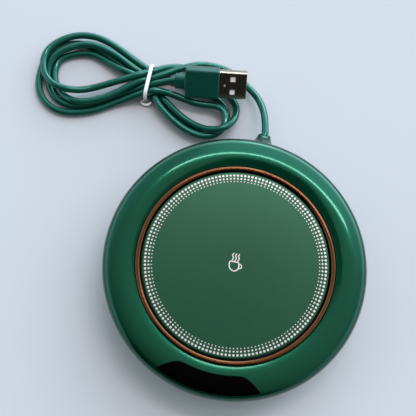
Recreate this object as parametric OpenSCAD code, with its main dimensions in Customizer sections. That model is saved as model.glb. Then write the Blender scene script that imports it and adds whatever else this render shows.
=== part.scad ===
// Round electric mug warmer with a floating heating plate, a display window and a USB cord.
// Millimetres, +Z up, the table at z = 0, the display window towards -Y, the cord leaving towards +Y.

/* [Body] */
// Diameter of the round body at its widest
body_d = 106; // [98:0.5:116]
// Height of the crest of the top above the table
body_h = 25; // [24.6:0.1:27]
// Wall of the upper shell and of the base cover
wall = 2; // [1.8:0.1:2.2]
// Height of the joint between the upper shell and the base cover
joint_z = 5; // [4.8:0.1:5.6]
// Air gap between the base cover and the table, set by the rubber ring
foot_gap = 1.2; // [1:0.1:1.5]

/* [Copper ring] */
// Outside diameter of the copper ring
ring_d = 79; // [77:0.5:80]
// Width of the copper ring
ring_w = 2; // [1.8:0.1:2.2]
// Height of the copper ring from its ledge to its rounded top
ring_h = 2.3; // [2.1:0.1:2.5]

/* [Heating plate] */
// Gap all round between the heating plate and the copper ring
plate_gap = 0.6; // [0.5:0.05:0.8]
// Thickness of the heating plate
plate_t = 2; // [1.8:0.1:2.2]
// Depth of the plate's top below the copper ring's top
plate_drop = 0.55; // [0.45:0.05:0.7]
// Travel of the plate when a mug is set down
plate_travel = 0.8; // [0.6:0.1:0.9]

/* [Display window] */
// Radial width of the window
window_w = 7.3; // [6.9:0.1:7.5]
// Thickness of the window lens
window_t = 1.4; // [1.2:0.1:1.5]
// Half of the angle the window spans along its inner edge
window_in_half = 17; // [15:0.5:18]
// Half of the angle the window spans along its outer edge
window_out_half = 23.8; // [22.5:0.1:24.5]

/* [Cord] */
// Outside diameter of the cord
cord_d = 3.1; // [2.9:0.1:3.3]
// Angle from the middle line by which the cord exit and the window opposite it are turned
exit_turn = 3.2; // [0:0.1:5]
// Height of the cord exit above the table
exit_z = 11.5; // [11.3:0.1:11.8]
// Distance the cord boss stands out of the body
boss_out = 5.3; // [5:0.1:5.8]

/* [Plug] */
// Width of the moulded plug grip
grip_w = 13.2; // [12.9:0.1:13.8]
// Thickness of the moulded plug grip
grip_t = 7; // [6.7:0.1:7.4]
// Length of the moulded plug grip without its neck
grip_len = 15; // [14:0.5:16]
// Roll of the plug about its own axis as it leans on the cord
plug_roll = 42; // [40:0.5:44]

/* [Hidden] */
$fn = 96;

// Clearances: a glued seat, a running fit per side, and air around a part.
seat = 0.05;
run = 0.08;
air = 0.1;

// Outline of the body: arcs about these centres, angles from straight up. The crest is the top
// line of the rim, the brow is where its tight outer turn begins, the equator is the widest line.
body_r = body_d / 2;
lip_r = ring_d / 2 + air;
shoulder = 3.8;
brow_r = body_r - shoulder;
crest_r = lip_r + 0.54 * (brow_r - lip_r);
equator_z = 11.5;
dish_a = 12.25;
brow_a = 17;
dish_rad = (crest_r - lip_r) / sin(dish_a);
brow_rad = (brow_r - crest_r) / sin(brow_a);
turn_rad = 5;
turn_c = [brow_r - turn_rad * sin(brow_a), body_h - brow_rad + (brow_rad - turn_rad) * cos(brow_a)];
turn_out = body_r - turn_c[0];
turn_up = turn_c[1] - equator_z;
side_rad = (pow(turn_out, 2) + pow(turn_up, 2) - pow(turn_rad, 2)) / (2 * (turn_out - turn_rad));
side_c = [body_r - side_rad, equator_z];
turn_a = atan2(turn_c[0] - side_c[0], turn_c[1] - side_c[1]);
under_rad = 14;
under_c = [body_r - under_rad, equator_z];
joint_a = 90 + asin((equator_z - joint_z) / under_rad);
foot_a = 130;
foot_p = under_c + under_rad * [sin(foot_a), cos(foot_a)];
foot_rad = (foot_p[1] - foot_gap) / (1 + cos(foot_a));
foot_c = foot_p - foot_rad * [sin(foot_a), cos(foot_a)];
tongue_r = under_c[0] + sqrt(pow(under_rad - wall, 2) - pow(equator_z - joint_z, 2)) - air;
tongue_t = 1.4;
tongue_h = 2;

// Ring, plate and what lies under them.
ring_top = body_h - 0.1;
seat_z = ring_top - ring_h;
ring_in_r = ring_d / 2 - ring_w;
bore_r = ring_in_r + air;
skirt_r = lip_r + 1;
skirt_z = seat_z - 6.1;
plate_r = ring_in_r - plate_gap;
plate_top = ring_top - plate_drop;
plate_z = plate_top - plate_t;
film_t = 0.65;
pad_t = 1.3;
floor_t = 2;
film_z = plate_z - film_t;
pad_z = film_z - pad_t;
carrier_z = pad_z - floor_t;
pocket_r = plate_r - 1.9;
flange_r = skirt_r - 1.4;
flange_top = skirt_z - air;
flange_t = 1.5;

// Guide posts, springs and the switch.
post_d = 4;
tube_d = 6.6;
tube_top = 12.5;
collar_d = 10;
collar_z = 8.4;
spring_d = 8.4;
spring_wire = 0.7;
spring_turns = 6;
spring_room = 1.3;
guide_r = pocket_r - spring_d / 2 - spring_room;
guide_a = [30, 150, 270];
board_z = 7;
board_t = 1.6;
board_top = board_z + board_t;
board_x = 40;
board_y = 28;
hole_x = 16;
hole_y = 10;
switch_w = 7;
switch_h = 3.6;
plunger_d = 3.4;
plunger_top = 13.6;
floor_z = foot_gap + wall;
sensor_x = 8;
sensor_d = 3;
heater_x = -12;
heater_y = 6;
cap_d = 5.6;
cap_h = 6;
socket_h = 3;

// Screws and pillars.
pillar_d = 6.6;
pillar_r = skirt_r + pillar_d / 2 - 0.3;
pillar_z = 6;
bore_top = 14;
screw_d = 2.6;
screw_len = 10.5;
screw_head = 5;
head_h = 1.5;
head_sink = 1.8;
screw_a = [45, 135, 225, 315];
small_d = 2;
small_head = 3.6;
small_h = 1.2;
foot_r = 31;
foot_w = 5;
foot_sink = 0.8;

// Display, which lies opposite the cord exit. The window's inner corners are cut this far back.
win_cut = 2.4;
win_in_r = crest_r - 1.65;
win_out_r = win_in_r + window_w;
win_gap = 0.12;
disp_z = body_h - 8.5;
disp_t = 1.2;
disp_mid = crest_r + 1.4;
digit_w = 12;
digit_d = 4.6;
digit_h = 3.8;
foam_d = 2.2;
stake_d = 3;
ribbon_x = 6;
ribbon_w = 6;
ribbon_t = 0.8;
stake_r = crest_r - 0.3;
stake_half = 24.5;

// Cord exit and clamp.
exit_dir = [sin(exit_turn), cos(exit_turn), 0];
boss_r = body_r + boss_out;
exit_r = boss_r + 0.6;
cord_in = flange_r + 0.6;
wire_gap = 0.75;
exit_side = [exit_dir[1], -exit_dir[0], 0];
boss_bore = 4.6;
boss_tip = 3.4;
boss_flare = 9;
boss_lip = 0.9;
flange_d = boss_bore + 2;
flange_len = 1.6;
flange_at = body_r - wall + 0.15;
clamp_w = 18;
clamp_len = 5;
clamp_r = (flange_r + sqrt(pow(body_r - wall, 2) - pow(clamp_w / 2, 2))) / 2;
clamp_h = 3.1;
clamp_hole = 6;

// Route of the free stretch of cord, from the boss to where it joins the hank.
exit_p = exit_r * exit_dir + [0, 0, exit_z];
lead_path = [exit_p + 0.5 * exit_dir, exit_p + 1.5 * exit_dir, [2.6, 66.5, 10], [0.5, 73.5, 7.2],
    [-3.5, 80, 4.4], [-7.5, 83.5, 3], [-12, 87, 2.2], [-15.5, 89, 2]];

// Plug: centre of the plane where the metal shell leaves the grip.
plug_p = [-20.2, 79.7, 10.3];
plug_yaw = 6;
plug_tilt = 2.3;
plug_aim = [cos(plug_tilt) * cos(plug_yaw), cos(plug_tilt) * sin(plug_yaw), sin(plug_tilt)];
neck_len = 4.6;
neck_w = 6.6;
neck_t = 5.4;
usb_w = 12;
usb_t = 4.5;
usb_len = 12;
usb_wall = 0.3;
usb_round = 0.7;
usb_in = 4;
usb_bar = 1.85;
tongue_w = usb_w - 2 * usb_wall - 2 * run;

// Hank of wound cord.
hank_h = 6.6;
waist = [[-56, 69.7], [-47.5, 83.9]];
waist_z = [1, 7.3];
waist_round = 2.6;
tie_x = -51.7;
tie_w = 1.9;
tie_t = 0.9;
hank_edge = [[-57.5, 87.4], [-63, 90.2], [-69, 93], [-75, 94.9], [-81, 96], [-86, 95.8],
    [-91, 94.1], [-96, 91], [-100, 86.8], [-102, 82], [-103, 78], [-103.3, 73.5], [-102.5, 67],
    [-100.4, 62], [-96.2, 57.6], [-91.2, 55.2], [-86, 54.7], [-80, 55.8], [-73, 58.5],
    [-66.5, 62.4], [-60, 66.2], [-56, 69.7], [-47.5, 69.7], [-47, 67], [-42.5, 63],
    [-38.5, 60], [-34.7, 57.9], [-30.8, 56.4], [-25.6, 55.1], [-21.6, 54.9], [-17.5, 56.3],
    [-14, 59.6], [-11.2, 63.5], [-9.2, 67.7], [-9, 72.5], [-10.8, 76.7], [-14.2, 79.8],
    [-19, 83], [-23, 85.5], [-16.25, 87.6], [-14.75, 90.4], [-17.8, 92], [-23.5, 92.8],
    [-29, 91.9], [-37.5, 89.8], [-43, 88], [-47.5, 83.9], [-56, 83.9]];
hank_eye_left = [[-64, 77.8], [-71, 83], [-78, 85.2], [-84.2, 84.9], [-88.9, 82.9],
    [-92.8, 80.8], [-94, 77.8], [-93.8, 73.7], [-92.3, 70], [-89, 67.8], [-84.7, 67.5],
    [-80.2, 68.6], [-74.2, 71.2], [-66.8, 74.6]];
hank_eye_mid = [[-63, 73], [-68, 71.2], [-75, 68], [-80, 65.5], [-79, 63.3], [-73.4, 65],
    [-66.8, 68.9]];
hank_eye_right = [[-41, 71.3], [-35.7, 71], [-30.5, 70.3], [-25, 69.7], [-20, 70],
    [-17, 69.3], [-16.3, 67], [-16.8, 64.5], [-18.5, 62.4], [-21.8, 61.5], [-25, 61.9],
    [-28.6, 63], [-32.4, 65], [-36.3, 67.8]];

shell_green = [0.02, 0.22, 0.17];
cord_green = [0.02, 0.24, 0.18];
copper = [0.62, 0.36, 0.22];
white = [0.9, 0.9, 0.88];
steel = [0.75, 0.75, 0.76];
black = [0.03, 0.03, 0.03];
board_green = [0.05, 0.3, 0.12];

function arc(c, r, a0, a1, n) =
    [for (i = [0 : n]) let (a = a0 + (a1 - a0) * i / n) c + r * [sin(a), cos(a)]];

// The top from radius r0 outwards to the end of the tight turn, t below the outer surface.
function top_line(r0, t) = concat(
    arc([crest_r, body_h - dish_rad], dish_rad - t, -asin((crest_r - r0) / (dish_rad - t)), 0, 4),
    arc([crest_r, body_h - brow_rad], brow_rad - t, 0, brow_a, 4),
    arc(turn_c, turn_rad - t, brow_a, turn_a, 5));

// The side from the tight turn down to the joint, t inside the outer surface.
function side_line(t) = concat(
    arc(side_c, side_rad - t, turn_a, 90, 5),
    arc(under_c, under_rad - t, 90, 90 + asin((under_c[1] - joint_z) / (under_rad - t)), 5));

// The list without points that repeat the one before.
function tidy(p) = [for (i = [0 : len(p) - 1]) if (i == 0 || norm(p[i] - p[i - 1]) > 0.001) p[i]];

function flip(p) = [for (i = [len(p) - 1 : -1 : 0]) p[i]];
function unit(v) = v / norm(v);
function heading(p, i) = unit(p[min(i + 1, len(p) - 1)] - p[max(i - 1, 0)]);

// A smooth curve through the points of p, n steps to each span.
function knot(p, i) = p[max(0, min(len(p) - 1, i))];
function blend_at(a, b, c, d, t) =
    0.5 * (2 * b + (c - a) * t + (2 * a - 5 * b + 4 * c - d) * t * t
    + (3 * b - a - 3 * c + d) * t * t * t);
function smooth(p, n) = concat(
    [for (i = [0 : len(p) - 2], k = [0 : n - 1])
        blend_at(knot(p, i - 1), p[i], p[i + 1], knot(p, i + 2), k / n)],
    [p[len(p) - 1]]);

module tube(path, r, sides, ref) {
    n = len(path);
    points = [for (i = [0 : n - 1])
        let (t = heading(path, i), s = unit(cross(t, ref)), u = cross(s, t))
        for (k = [0 : sides - 1])
            path[i] + r * cos(360 * k / sides) * s + r * sin(360 * k / sides) * u];
    walls = [for (i = [0 : n - 2], k = [0 : sides - 1])
        let (a = i * sides, j = (k + 1) % sides) [a + k, a + j, a + j + sides, a + k + sides]];
    caps = [[for (k = [sides - 1 : -1 : 0]) k], [for (k = [0 : sides - 1]) (n - 1) * sides + k]];
    polyhedron(points = points, faces = concat(walls, caps));
}

module ring_of(angles, r) {
    for (a = angles)
        rotate([0, 0, a])
            translate([r, 0, 0])
                children();
}

// Copies of the children at angles from the line opposite the cord exit, r from the axis.
module opposite_exit(angles, r) {
    ring_of([for (a = angles) a - 90 - exit_turn], r)
        children();
}

module disc(r, z0, z1) {
    translate([0, 0, z0])
        cylinder(r = r, h = z1 - z0);
}

// Cylinder along the cord exit's direction from radius r0 to r1.
module along_exit(d, r0, r1) {
    rotate([0, 0, -exit_turn])
        translate([0, r0, exit_z])
            rotate([-90, 0, 0])
                cylinder(d = d, h = r1 - r0);
}

// Plan of the window: a ring sector with slanted ends, grown by g on every side.
module crescent(g) {
    in_r = win_in_r - g;
    out_r = win_out_r + g;
    end_in = win_in_r * [sin(window_in_half), -cos(window_in_half)] + [g, 0];
    end_out = win_out_r * [sin(window_out_half), -cos(window_out_half)] + [g, 0];
    cut_a = window_in_half - win_cut / win_in_r * 180 / PI;
    cut_in = win_in_r * [sin(cut_a), -cos(cut_a)] + [0, g];
    cut_out = end_in + win_cut * (end_out - end_in) / norm(end_out - end_in);
    cut_mid = (cut_in + 2 * end_in + cut_out) / 4;
    far_out = end_out + 0.3 * (end_out - end_in);
    half = [0.9 * cut_in, cut_in, cut_mid, cut_out, far_out];
    rotate([0, 0, -exit_turn])
        intersection() {
            difference() {
                circle(r = out_r);
                circle(r = in_r);
            }
            polygon(concat(half, [[0, -1.3 * out_r]], flip([for (q = half) [-q[0], q[1]]])));
        }
}

// Everything inside the upper body deeper than t.
module filled(t) {
    rotate_extrude()
        polygon(tidy(concat([[0, joint_z], [0, body_h - 4]], top_line(skirt_r, t), side_line(t))));
}

module upper_shell() {
    color(shell_green)
        difference() {
            union() {
                rotate_extrude()
                    polygon(tidy(concat([[bore_r, skirt_z], [bore_r, seat_z], [lip_r, seat_z]],
                        top_line(lip_r, 0), side_line(0), flip(side_line(wall)),
                        flip(top_line(skirt_r, wall)), [[skirt_r, skirt_z]])));
                difference() {
                    cord_boss();
                    filled(wall);
                }
                intersection() {
                    filled(0);
                    union() {
                        ring_of(screw_a, pillar_r)
                            disc(pillar_d / 2, pillar_z, body_h - 0.8 * wall);
                        opposite_exit([-stake_half, stake_half], stake_r) {
                            disc(stake_d / 2, disp_z + disp_t, body_h - 0.8 * wall);
                            disc(stake_d / 4, disp_z - 0.8, disp_z + disp_t + 0.1);
                        }
                    }
                }
            }
            window_cut();
            ring_of(screw_a, pillar_r)
                disc(screw_d / 2, pillar_z - 1, bore_top);
            along_exit(boss_bore, body_r - 12, boss_r + 1);
            along_exit(flange_d + 2 * air, body_r - 12, flange_at + seat);
        }
}

// Bell-shaped boss the cord leaves through, cut off where the base cover begins.
module cord_boss() {
    rotate([0, 0, -exit_turn])
        intersection() {
            translate([0, 0, exit_z])
                rotate([-90, 0, 0])
                    rotate_extrude()
                        polygon(boss_line());
            translate([0, 0, joint_z])
                cylinder(r = boss_r + 5, h = body_h);
        }
}

// Half of the boss in section: a hollow flare out of the wall, then a rounded tip.
function boss_line() = concat([[0, body_r - 3.4], [boss_flare + 0.3, body_r - 3.4]],
    [for (i = [0 : 6]) let (a = 90 - 90 * i / 6)
        [boss_tip + (boss_flare - boss_tip) * (1 - cos(a)), boss_r - 2.4 - (boss_out - 0.8) * sin(a)]],
    arc([boss_tip - boss_lip, boss_r - boss_lip], boss_lip, 90, 0, 4), [[0, boss_r]]);

// Pocket for the lens and the opening through the wall below it.
module window_cut() {
    intersection() {
        translate([0, 0, 15])
            linear_extrude(height = 15)
                crescent(win_gap);
        rotate_extrude()
            polygon(tidy(concat(top_line(lip_r, window_t),
                [[turn_c[0] + 6, 22], [turn_c[0] + 6, 30], [lip_r, 30]])));
    }
    translate([0, 0, 15])
        linear_extrude(height = 15)
            crescent(-1.1);
}

module base_cover() {
    color(shell_green)
        difference() {
            union() {
                rotate_extrude()
                    polygon(tidy(concat(cover_line(), [[tongue_r, joint_z + tongue_h],
                        [tongue_r - tongue_t, joint_z + tongue_h],
                        [tongue_r - tongue_t, floor_z + tongue_t],
                        [tongue_r - 2 * tongue_t, floor_z], [0, floor_z]])));
                intersection() {
                    rotate_extrude()
                        polygon(tidy(concat(cover_line(), [[tongue_r, pillar_z], [0, pillar_z]])));
                    ring_of(screw_a, pillar_r)
                        disc(screw_head / 2 + 1.1, 0, pillar_z);
                }
                ring_of(guide_a, guide_r) {
                    disc(tube_d / 2, floor_z - 1, tube_top);
                    disc(collar_d / 2, floor_z - 1, collar_z);
                }
                board_holes(small_d / 2 + 1.6, floor_z - 1, board_z);
                rotate([0, 0, -exit_turn])
                    translate([-clamp_w / 2, clamp_r - clamp_len / 2, floor_z - 1])
                        cube([clamp_w, clamp_len, exit_z - 3 * air - floor_z + 1]);
            }
            ring_of(screw_a, pillar_r) {
                disc(screw_head / 2 + 2 * air, 0, foot_gap + head_sink);
                disc(screw_d / 2 + 0.15, 0, pillar_z + 1);
            }
            ring_of(guide_a, guide_r)
                disc(post_d / 2 + run, floor_z + 1, tube_top + 1);
            foot_band(seat, 0, foot_gap + foot_sink);
            board_holes(small_d / 2, floor_z, board_z + 1);
            along_exit(cord_d, clamp_r - clamp_len, clamp_r + clamp_len);
            clamp_holes(small_d / 2, exit_z - 7, exit_z + 1);
        }
}

// Outside of the base cover: its underside, its rounded corner and its edge at the joint.
function cover_line() = concat([[0, foot_gap]], flip(arc(foot_c, foot_rad, foot_a, 180, 4)),
    flip(arc(under_c, under_rad, joint_a, foot_a, 3)), [[tongue_r, joint_z]]);

module board_holes(r, z0, z1) {
    for (x = [-hole_x, hole_x], y = [-hole_y, hole_y])
        translate([x, y, 0])
            disc(r, z0, z1);
}

module clamp_holes(r, z0, z1) {
    for (s = [-1, 1])
        rotate([0, 0, -exit_turn])
            translate([clamp_hole * s, clamp_r, 0])
                disc(r, z0, z1);
}

module copper_ring() {
    mid = ring_in_r + ring_w / 2;
    color(copper)
        rotate_extrude()
            union() {
                translate([ring_in_r, seat_z])
                    square([ring_w, ring_h - ring_w / 2]);
                translate([mid, ring_top - ring_w / 2])
                    circle(d = ring_w, $fn = 32);
            }
}

module heating_plate() {
    color(shell_green)
        rotate_extrude()
            polygon([[0, plate_z], [plate_r, plate_z], [plate_r, plate_top - 0.35],
                [plate_r - 0.35, plate_top], [0, plate_top]]);
}

module heater_film() {
    color([0.5, 0.32, 0.1])
        disc(pocket_r - 0.6, film_z, plate_z);
}

module insulation_pad() {
    color([0.78, 0.74, 0.66])
        difference() {
            disc(pocket_r - 0.2, pad_z, film_z);
            lead_holes(0.2);
            translate([sensor_x, 0, 0])
                disc(sensor_d / 2 + air, pad_z - 1, film_z + 1);
        }
}

module lead_holes(g) {
    translate([heater_x, heater_y, 0])
        disc(2 + g, carrier_z - 1, film_z + 1);
    translate([sensor_x, 0, 0])
        disc(1.25 + g, carrier_z - 1, pad_z + 0.01);
}

module plate_carrier() {
    color([0.12, 0.12, 0.12])
        difference() {
            union() {
                rotate_extrude()
                    polygon([[0, carrier_z], [pocket_r, carrier_z], [pocket_r, flange_top - flange_t],
                        [flange_r, flange_top - flange_t], [flange_r, flange_top], [plate_r, flange_top],
                        [plate_r, plate_z], [pocket_r, plate_z], [pocket_r, pad_z], [0, pad_z]]);
                ring_of(guide_a, guide_r) {
                    disc(3, tube_top + plate_travel, carrier_z + 0.5);
                    disc(post_d / 2, board_z + 0.5, carrier_z);
                }
                disc(2.5, plunger_top, carrier_z + 0.5);
            }
            lead_holes(0);
        }
}

module thermistor() {
    color([0.1, 0.1, 0.1])
        translate([sensor_x, 0, 0])
            disc(sensor_d / 2, pad_z, film_z);
}

module return_springs() {
    r = spring_d / 2;
    z0 = collar_z + spring_wire / 2;
    h = carrier_z - collar_z - spring_wire;
    steps = 14 * spring_turns;
    color(steel)
        ring_of(guide_a, guide_r)
            tube([for (i = [0 : steps]) let (a = 360 * spring_turns * i / steps,
                    f = (i / steps < 0.12) ? 0 : (i / steps > 0.88) ? 1 : (i / steps - 0.12) / 0.76)
                    [r * cos(a), r * sin(a), z0 + h * f]],
                spring_wire / 2, 6, [0, 0, 1]);
}

module plate_switch() {
    color(black)
        difference() {
            translate([-switch_w / 2, -switch_w / 2, board_top])
                cube([switch_w, switch_w, switch_h]);
            disc(plunger_d / 2 + run, board_top + 0.1, board_top + switch_h + 1);
        }
}

module switch_plunger() {
    color(white)
        disc(plunger_d / 2, board_top + 0.1 + plate_travel + 0.2, plunger_top);
}

module display_window() {
    color(black)
        intersection() {
            translate([0, 0, 15])
                linear_extrude(height = 15)
                    crescent(0);
            rotate_extrude()
                polygon(tidy(concat(top_line(lip_r + 1, 0), flip(top_line(lip_r + 1, window_t)))));
        }
}

module display_board() {
    color(board_green)
        difference() {
            translate([0, 0, disp_z])
                rotate([0, 0, -exit_turn])
                    linear_extrude(height = disp_t)
                        intersection() {
                            difference() {
                                circle(r = disp_mid + 3);
                                circle(r = skirt_r + 0.5);
                            }
                            polygon([[0, 0], [32, -60], [-32, -60]]);
                        }
            opposite_exit([-stake_half, stake_half], stake_r)
                disc(0.8, disp_z - 1, disp_z + disp_t + 1);
        }
}

module digit_module() {
    color([0.85, 0.85, 0.83])
        rotate([0, 0, -exit_turn])
            translate([-digit_w / 2, -disp_mid - digit_d / 2 + air, disp_z + disp_t])
                cube([digit_w, digit_d, digit_h]);
}

module touch_foams() {
    color([0.25, 0.25, 0.25])
        opposite_exit([-11, 11], disp_mid + 0.7)
            disc(foam_d / 2, disp_z + disp_t, body_h - window_t - 0.45);
}

// Ribbon from the edge of the display board, down inside the housing and over the main board.
module display_cable() {
    in_z = board_top + 2 * ribbon_t;
    drop = disp_mid - 2.5;
    color([0.8, 0.8, 0.8])
        translate([ribbon_x, 0, 0])
            rotate([90, 0, 90])
                linear_extrude(height = ribbon_w)
                    polygon([[-drop - ribbon_t, disp_z], [-drop - ribbon_t, in_z + 2.4],
                        [-drop + 1.6, in_z], [-board_y / 2 + 1, in_z],
                        [-board_y / 2 + 1, in_z + ribbon_t], [-drop + 2, in_z + ribbon_t],
                        [-drop, in_z + 3 * ribbon_t + 0.4], [-drop, disp_z]]);
}

module control_board() {
    color(board_green)
        difference() {
            translate([-board_x / 2, -board_y / 2, board_z])
                cube([board_x, board_y, board_t]);
            board_holes(small_d / 2 + 0.15, board_z - 1, board_top + 1);
        }
}

module board_chips() {
    color(black) {
        translate([5, -8, board_top])
            cube([6, 5, 1.4]);
        translate([-11, -10, board_top])
            cube([6.6, 6, 2.4]);
        translate([-4, 6.5, board_top])
            cube([3, 3, 1.2]);
    }
}

module capacitor() {
    color([0.2, 0.22, 0.5])
        translate([-hole_x, -2, 0])
            disc(cap_d / 2, board_top, board_top + cap_h);
}

module wire_sockets() {
    color(white) {
        translate([heater_x - 3, heater_y - 3, board_top])
            cube([6, 5, socket_h]);
        translate([sensor_x + 2, 1, board_top])
            cube([5, 4, socket_h]);
        translate([ribbon_x - 1, 1 - board_y / 2, board_top])
            cube([ribbon_w + 2, 3.5, socket_h + 0.4]);
    }
}

// A wire from one point to the other, square to the faces it starts and ends on.
module wire(r, start, start_dir, middle, end, end_dir) {
    inner = concat([start + 0.8 * start_dir], middle, [end - 0.8 * end_dir]);
    tube(concat([start], smooth(inner, 3), [end]), r, 8, [1, 0, 0]);
}

module heater_leads() {
    color([0.8, 0.1, 0.08])
        for (s = [-1, 1])
            wire(0.7, [heater_x + s, heater_y - 1, board_top + socket_h], [0, 0, 1],
                [[heater_x + s, heater_y - 0.8, board_top + socket_h + 2],
                    [heater_x + s * 0.9, heater_y - 0.2, carrier_z - 1.5]],
                [heater_x + s * 0.9, heater_y, film_z], [0, 0, 1]);
}

module sensor_leads() {
    color([0.9, 0.85, 0.2])
        for (s = [-1, 1])
            wire(0.4, [sensor_x + 3.5 + 0.6 * s, 3, board_top + socket_h], [0, 0, 1],
                [[sensor_x + 3 + 0.6 * s, 2.6, board_top + socket_h + 2],
                    [sensor_x + 0.5 + 0.6 * s, 0.3, carrier_z - 1.5]],
                [sensor_x + 0.6 * s, 0, pad_z], [0, 0, 1]);
}

module supply_wires() {
    start = cord_in * exit_dir + [0, 0, exit_z];
    color([0.75, 0.08, 0.06])
        for (s = [-1, 1])
            wire(0.6, start + wire_gap * s * exit_side, -exit_dir,
                [[1.7 + 1.5 * s, 30, exit_z - 0.6], [1.7 + 2 * s, 20, exit_z - 1],
                    [1.7 + 2 * s, board_y / 2 - 1.2, exit_z - 0.8]],
                [1.7 + 2 * s, board_y / 2 - 3, board_top], [0, 0, -1]);
}

module cord_inner() {
    color(cord_green)
        rotate([0, 0, -exit_turn])
            translate([0, cord_in, exit_z])
                rotate([-90, 0, 0])
                    cylinder(d = cord_d, h = exit_r - cord_in);
}

module cord_grommet() {
    color(cord_green)
        difference() {
            union() {
                along_exit(boss_bore - 2 * seat, flange_at - flange_len, boss_r);
                along_exit(boss_bore + 1, boss_r, exit_r);
                along_exit(flange_d, flange_at - flange_len, flange_at);
            }
            along_exit(cord_d, body_r - 12, exit_r + 1);
        }
}

module cord_clamp() {
    color([0.12, 0.12, 0.12])
        difference() {
            rotate([0, 0, -exit_turn])
                translate([-clamp_w / 2, clamp_r - clamp_len / 2, exit_z - 2 * air])
                    cube([clamp_w, clamp_len, clamp_h]);
            along_exit(cord_d, clamp_r - clamp_len, clamp_r + clamp_len);
            clamp_holes(small_d / 2 + 0.15, exit_z - 1, exit_z + clamp_h + 1);
        }
}

module pan_screw(d, head_d, head_h, len) {
    difference() {
        union() {
            translate([0, 0, -len])
                cylinder(d = d, h = len);
            cylinder(d = head_d, h = head_h);
        }
        for (a = [0, 90])
            rotate([0, 0, a])
                translate([-head_d * 0.3, -0.25, head_h - 0.5])
                    cube([head_d * 0.6, 0.5, 1]);
    }
}

module clamp_screws() {
    color(steel)
        for (s = [-1, 1])
            rotate([0, 0, -exit_turn])
                translate([clamp_hole * s, clamp_r, exit_z - 2 * air + clamp_h])
                    pan_screw(small_d, small_head, small_h, 7);
}

module board_screws() {
    color(steel)
        for (x = [-hole_x, hole_x], y = [-hole_y, hole_y])
            translate([x, y, board_top])
                pan_screw(small_d, small_head, small_h, 5);
}

module base_screws() {
    color(steel)
        ring_of(screw_a, pillar_r)
            translate([0, 0, foot_gap + head_sink])
                rotate([180, 0, 0])
                    pan_screw(screw_d, screw_head, head_h, screw_len);
}

// Ring of rubber in a groove of the base cover.
module foot_ring() {
    color([0.08, 0.08, 0.08])
        foot_band(0, 0, foot_gap + foot_sink);
}

module foot_band(g, z0, z1) {
    difference() {
        disc(foot_r + foot_w / 2 + g, z0, z1);
        disc(foot_r - foot_w / 2 - g, z0 - 1, z1 + 1);
    }
}

module cord_lead() {
    color(cord_green)
        tube(concat([exit_p], smooth(lead_path, 4)), cord_d / 2, 8, [0, 0, 1]);
}

module cord_hank() {
    color(cord_green)
        difference() {
            union() {
                linear_extrude(height = hank_h)
                    difference() {
                        polygon(hank_edge);
                        polygon(hank_eye_left);
                        polygon(hank_eye_mid);
                        polygon(hank_eye_right);
                        translate(waist[0])
                            square([waist[1][0] - waist[0][0], waist[1][1] - waist[0][1]]);
                    }
                waist_block(0, waist[0][0] - 0.3, waist[1][0] + 0.3);
            }
            at_plug() {
                grip_solid(air);
                neck_solid(air);
                translate([-1, -usb_w / 2 - air, -usb_t / 2 - air])
                    cube([usb_len + 1 + air, usb_w + 2 * air, usb_t + 2 * air]);
            }
        }
}

// Rounded bundle under the tie, grown by g, from x0 to x1.
module waist_block(g, x0, x1) {
    w = waist[1][1] - waist[0][1] + 2 * g;
    h = waist_z[1] - waist_z[0] + 2 * g;
    translate([x0, (waist[0][1] + waist[1][1]) / 2, (waist_z[0] + waist_z[1]) / 2])
        rotate([90, 0, 90])
            linear_extrude(height = x1 - x0)
                round_rect(w, h, waist_round + g);
}

module round_rect(w, h, r) {
    square([w - 2 * r, h], center = true);
    square([w, h - 2 * r], center = true);
    for (x = [-1, 1], y = [-1, 1])
        translate([x * (w / 2 - r), y * (h / 2 - r)])
            circle(r = r, $fn = 48);
}

module plug_lead() {
    start = [waist[1][0] + 0.3, 76.7, 6.3];
    end = plug_p - (grip_len + neck_len) * plug_aim;
    color(cord_green)
        tube(concat(smooth([start, start + [1.3, 0.15, 0.65], end - 3 * plug_aim - [0, 0, 0.5],
                    end - 0.8 * plug_aim], 3), [end]),
            cord_d / 2, 8, [0, 0, 1]);
}

module cord_tie() {
    color(white) {
        difference() {
            waist_block(tie_t, tie_x - tie_w / 2, tie_x + tie_w / 2);
            waist_block(0, tie_x - tie_w, tie_x + tie_w);
        }
        translate([-51.3, 69.1, 0.62])
            rotate([0, 0, 120])
                rotate_extrude(angle = 225)
                    translate([2.2, 0])
                        circle(d = 1.1, $fn = 16);
    }
}

module at_plug() {
    translate(plug_p)
        rotate([0, -plug_tilt, plug_yaw])
            rotate([plug_roll, 0, 0])
                children();
}

module grip_solid(g) {
    translate([-grip_len - g, 0, 0])
        rotate([90, 0, 90])
            linear_extrude(height = grip_len + 2 * g)
                round_rect(grip_w + 2 * g, grip_t + 2 * g, 1.3 + g);
}

module neck_solid(g) {
    translate([-grip_len - neck_len - g, 0, 0])
        rotate([90, 0, 90])
            linear_extrude(height = neck_len + 1)
                round_rect(neck_w + 2 * g, neck_t + 2 * g, 2.2 + g);
}

module plug_grip() {
    color(cord_green)
        at_plug()
            difference() {
                union() {
                    grip_solid(0);
                    neck_solid(0);
                }
                translate([-usb_in, -usb_w / 2, -usb_t / 2])
                    cube([usb_in + 1, usb_w, usb_t]);
            }
}

module plug_shell() {
    color(steel)
        at_plug()
            difference() {
                translate([-usb_in, 0, 0])
                    rotate([90, 0, 90])
                        linear_extrude(height = usb_len + usb_in)
                            round_rect(usb_w, usb_t, usb_round);
                translate([-usb_in + 1, 0, 0])
                    rotate([90, 0, 90])
                        linear_extrude(height = usb_len + usb_in)
                            round_rect(usb_w - 2 * usb_wall, usb_t - 2 * usb_wall, 0.2);
                for (y = [-2.9, 2.9])
                    translate([4.8, y - 1.15, -5])
                        cube([2.3, 2.3, 10]);
                translate([2.1, -0.7, 0])
                    cube([0.6, 1.2, 5]);
            }
}

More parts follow.
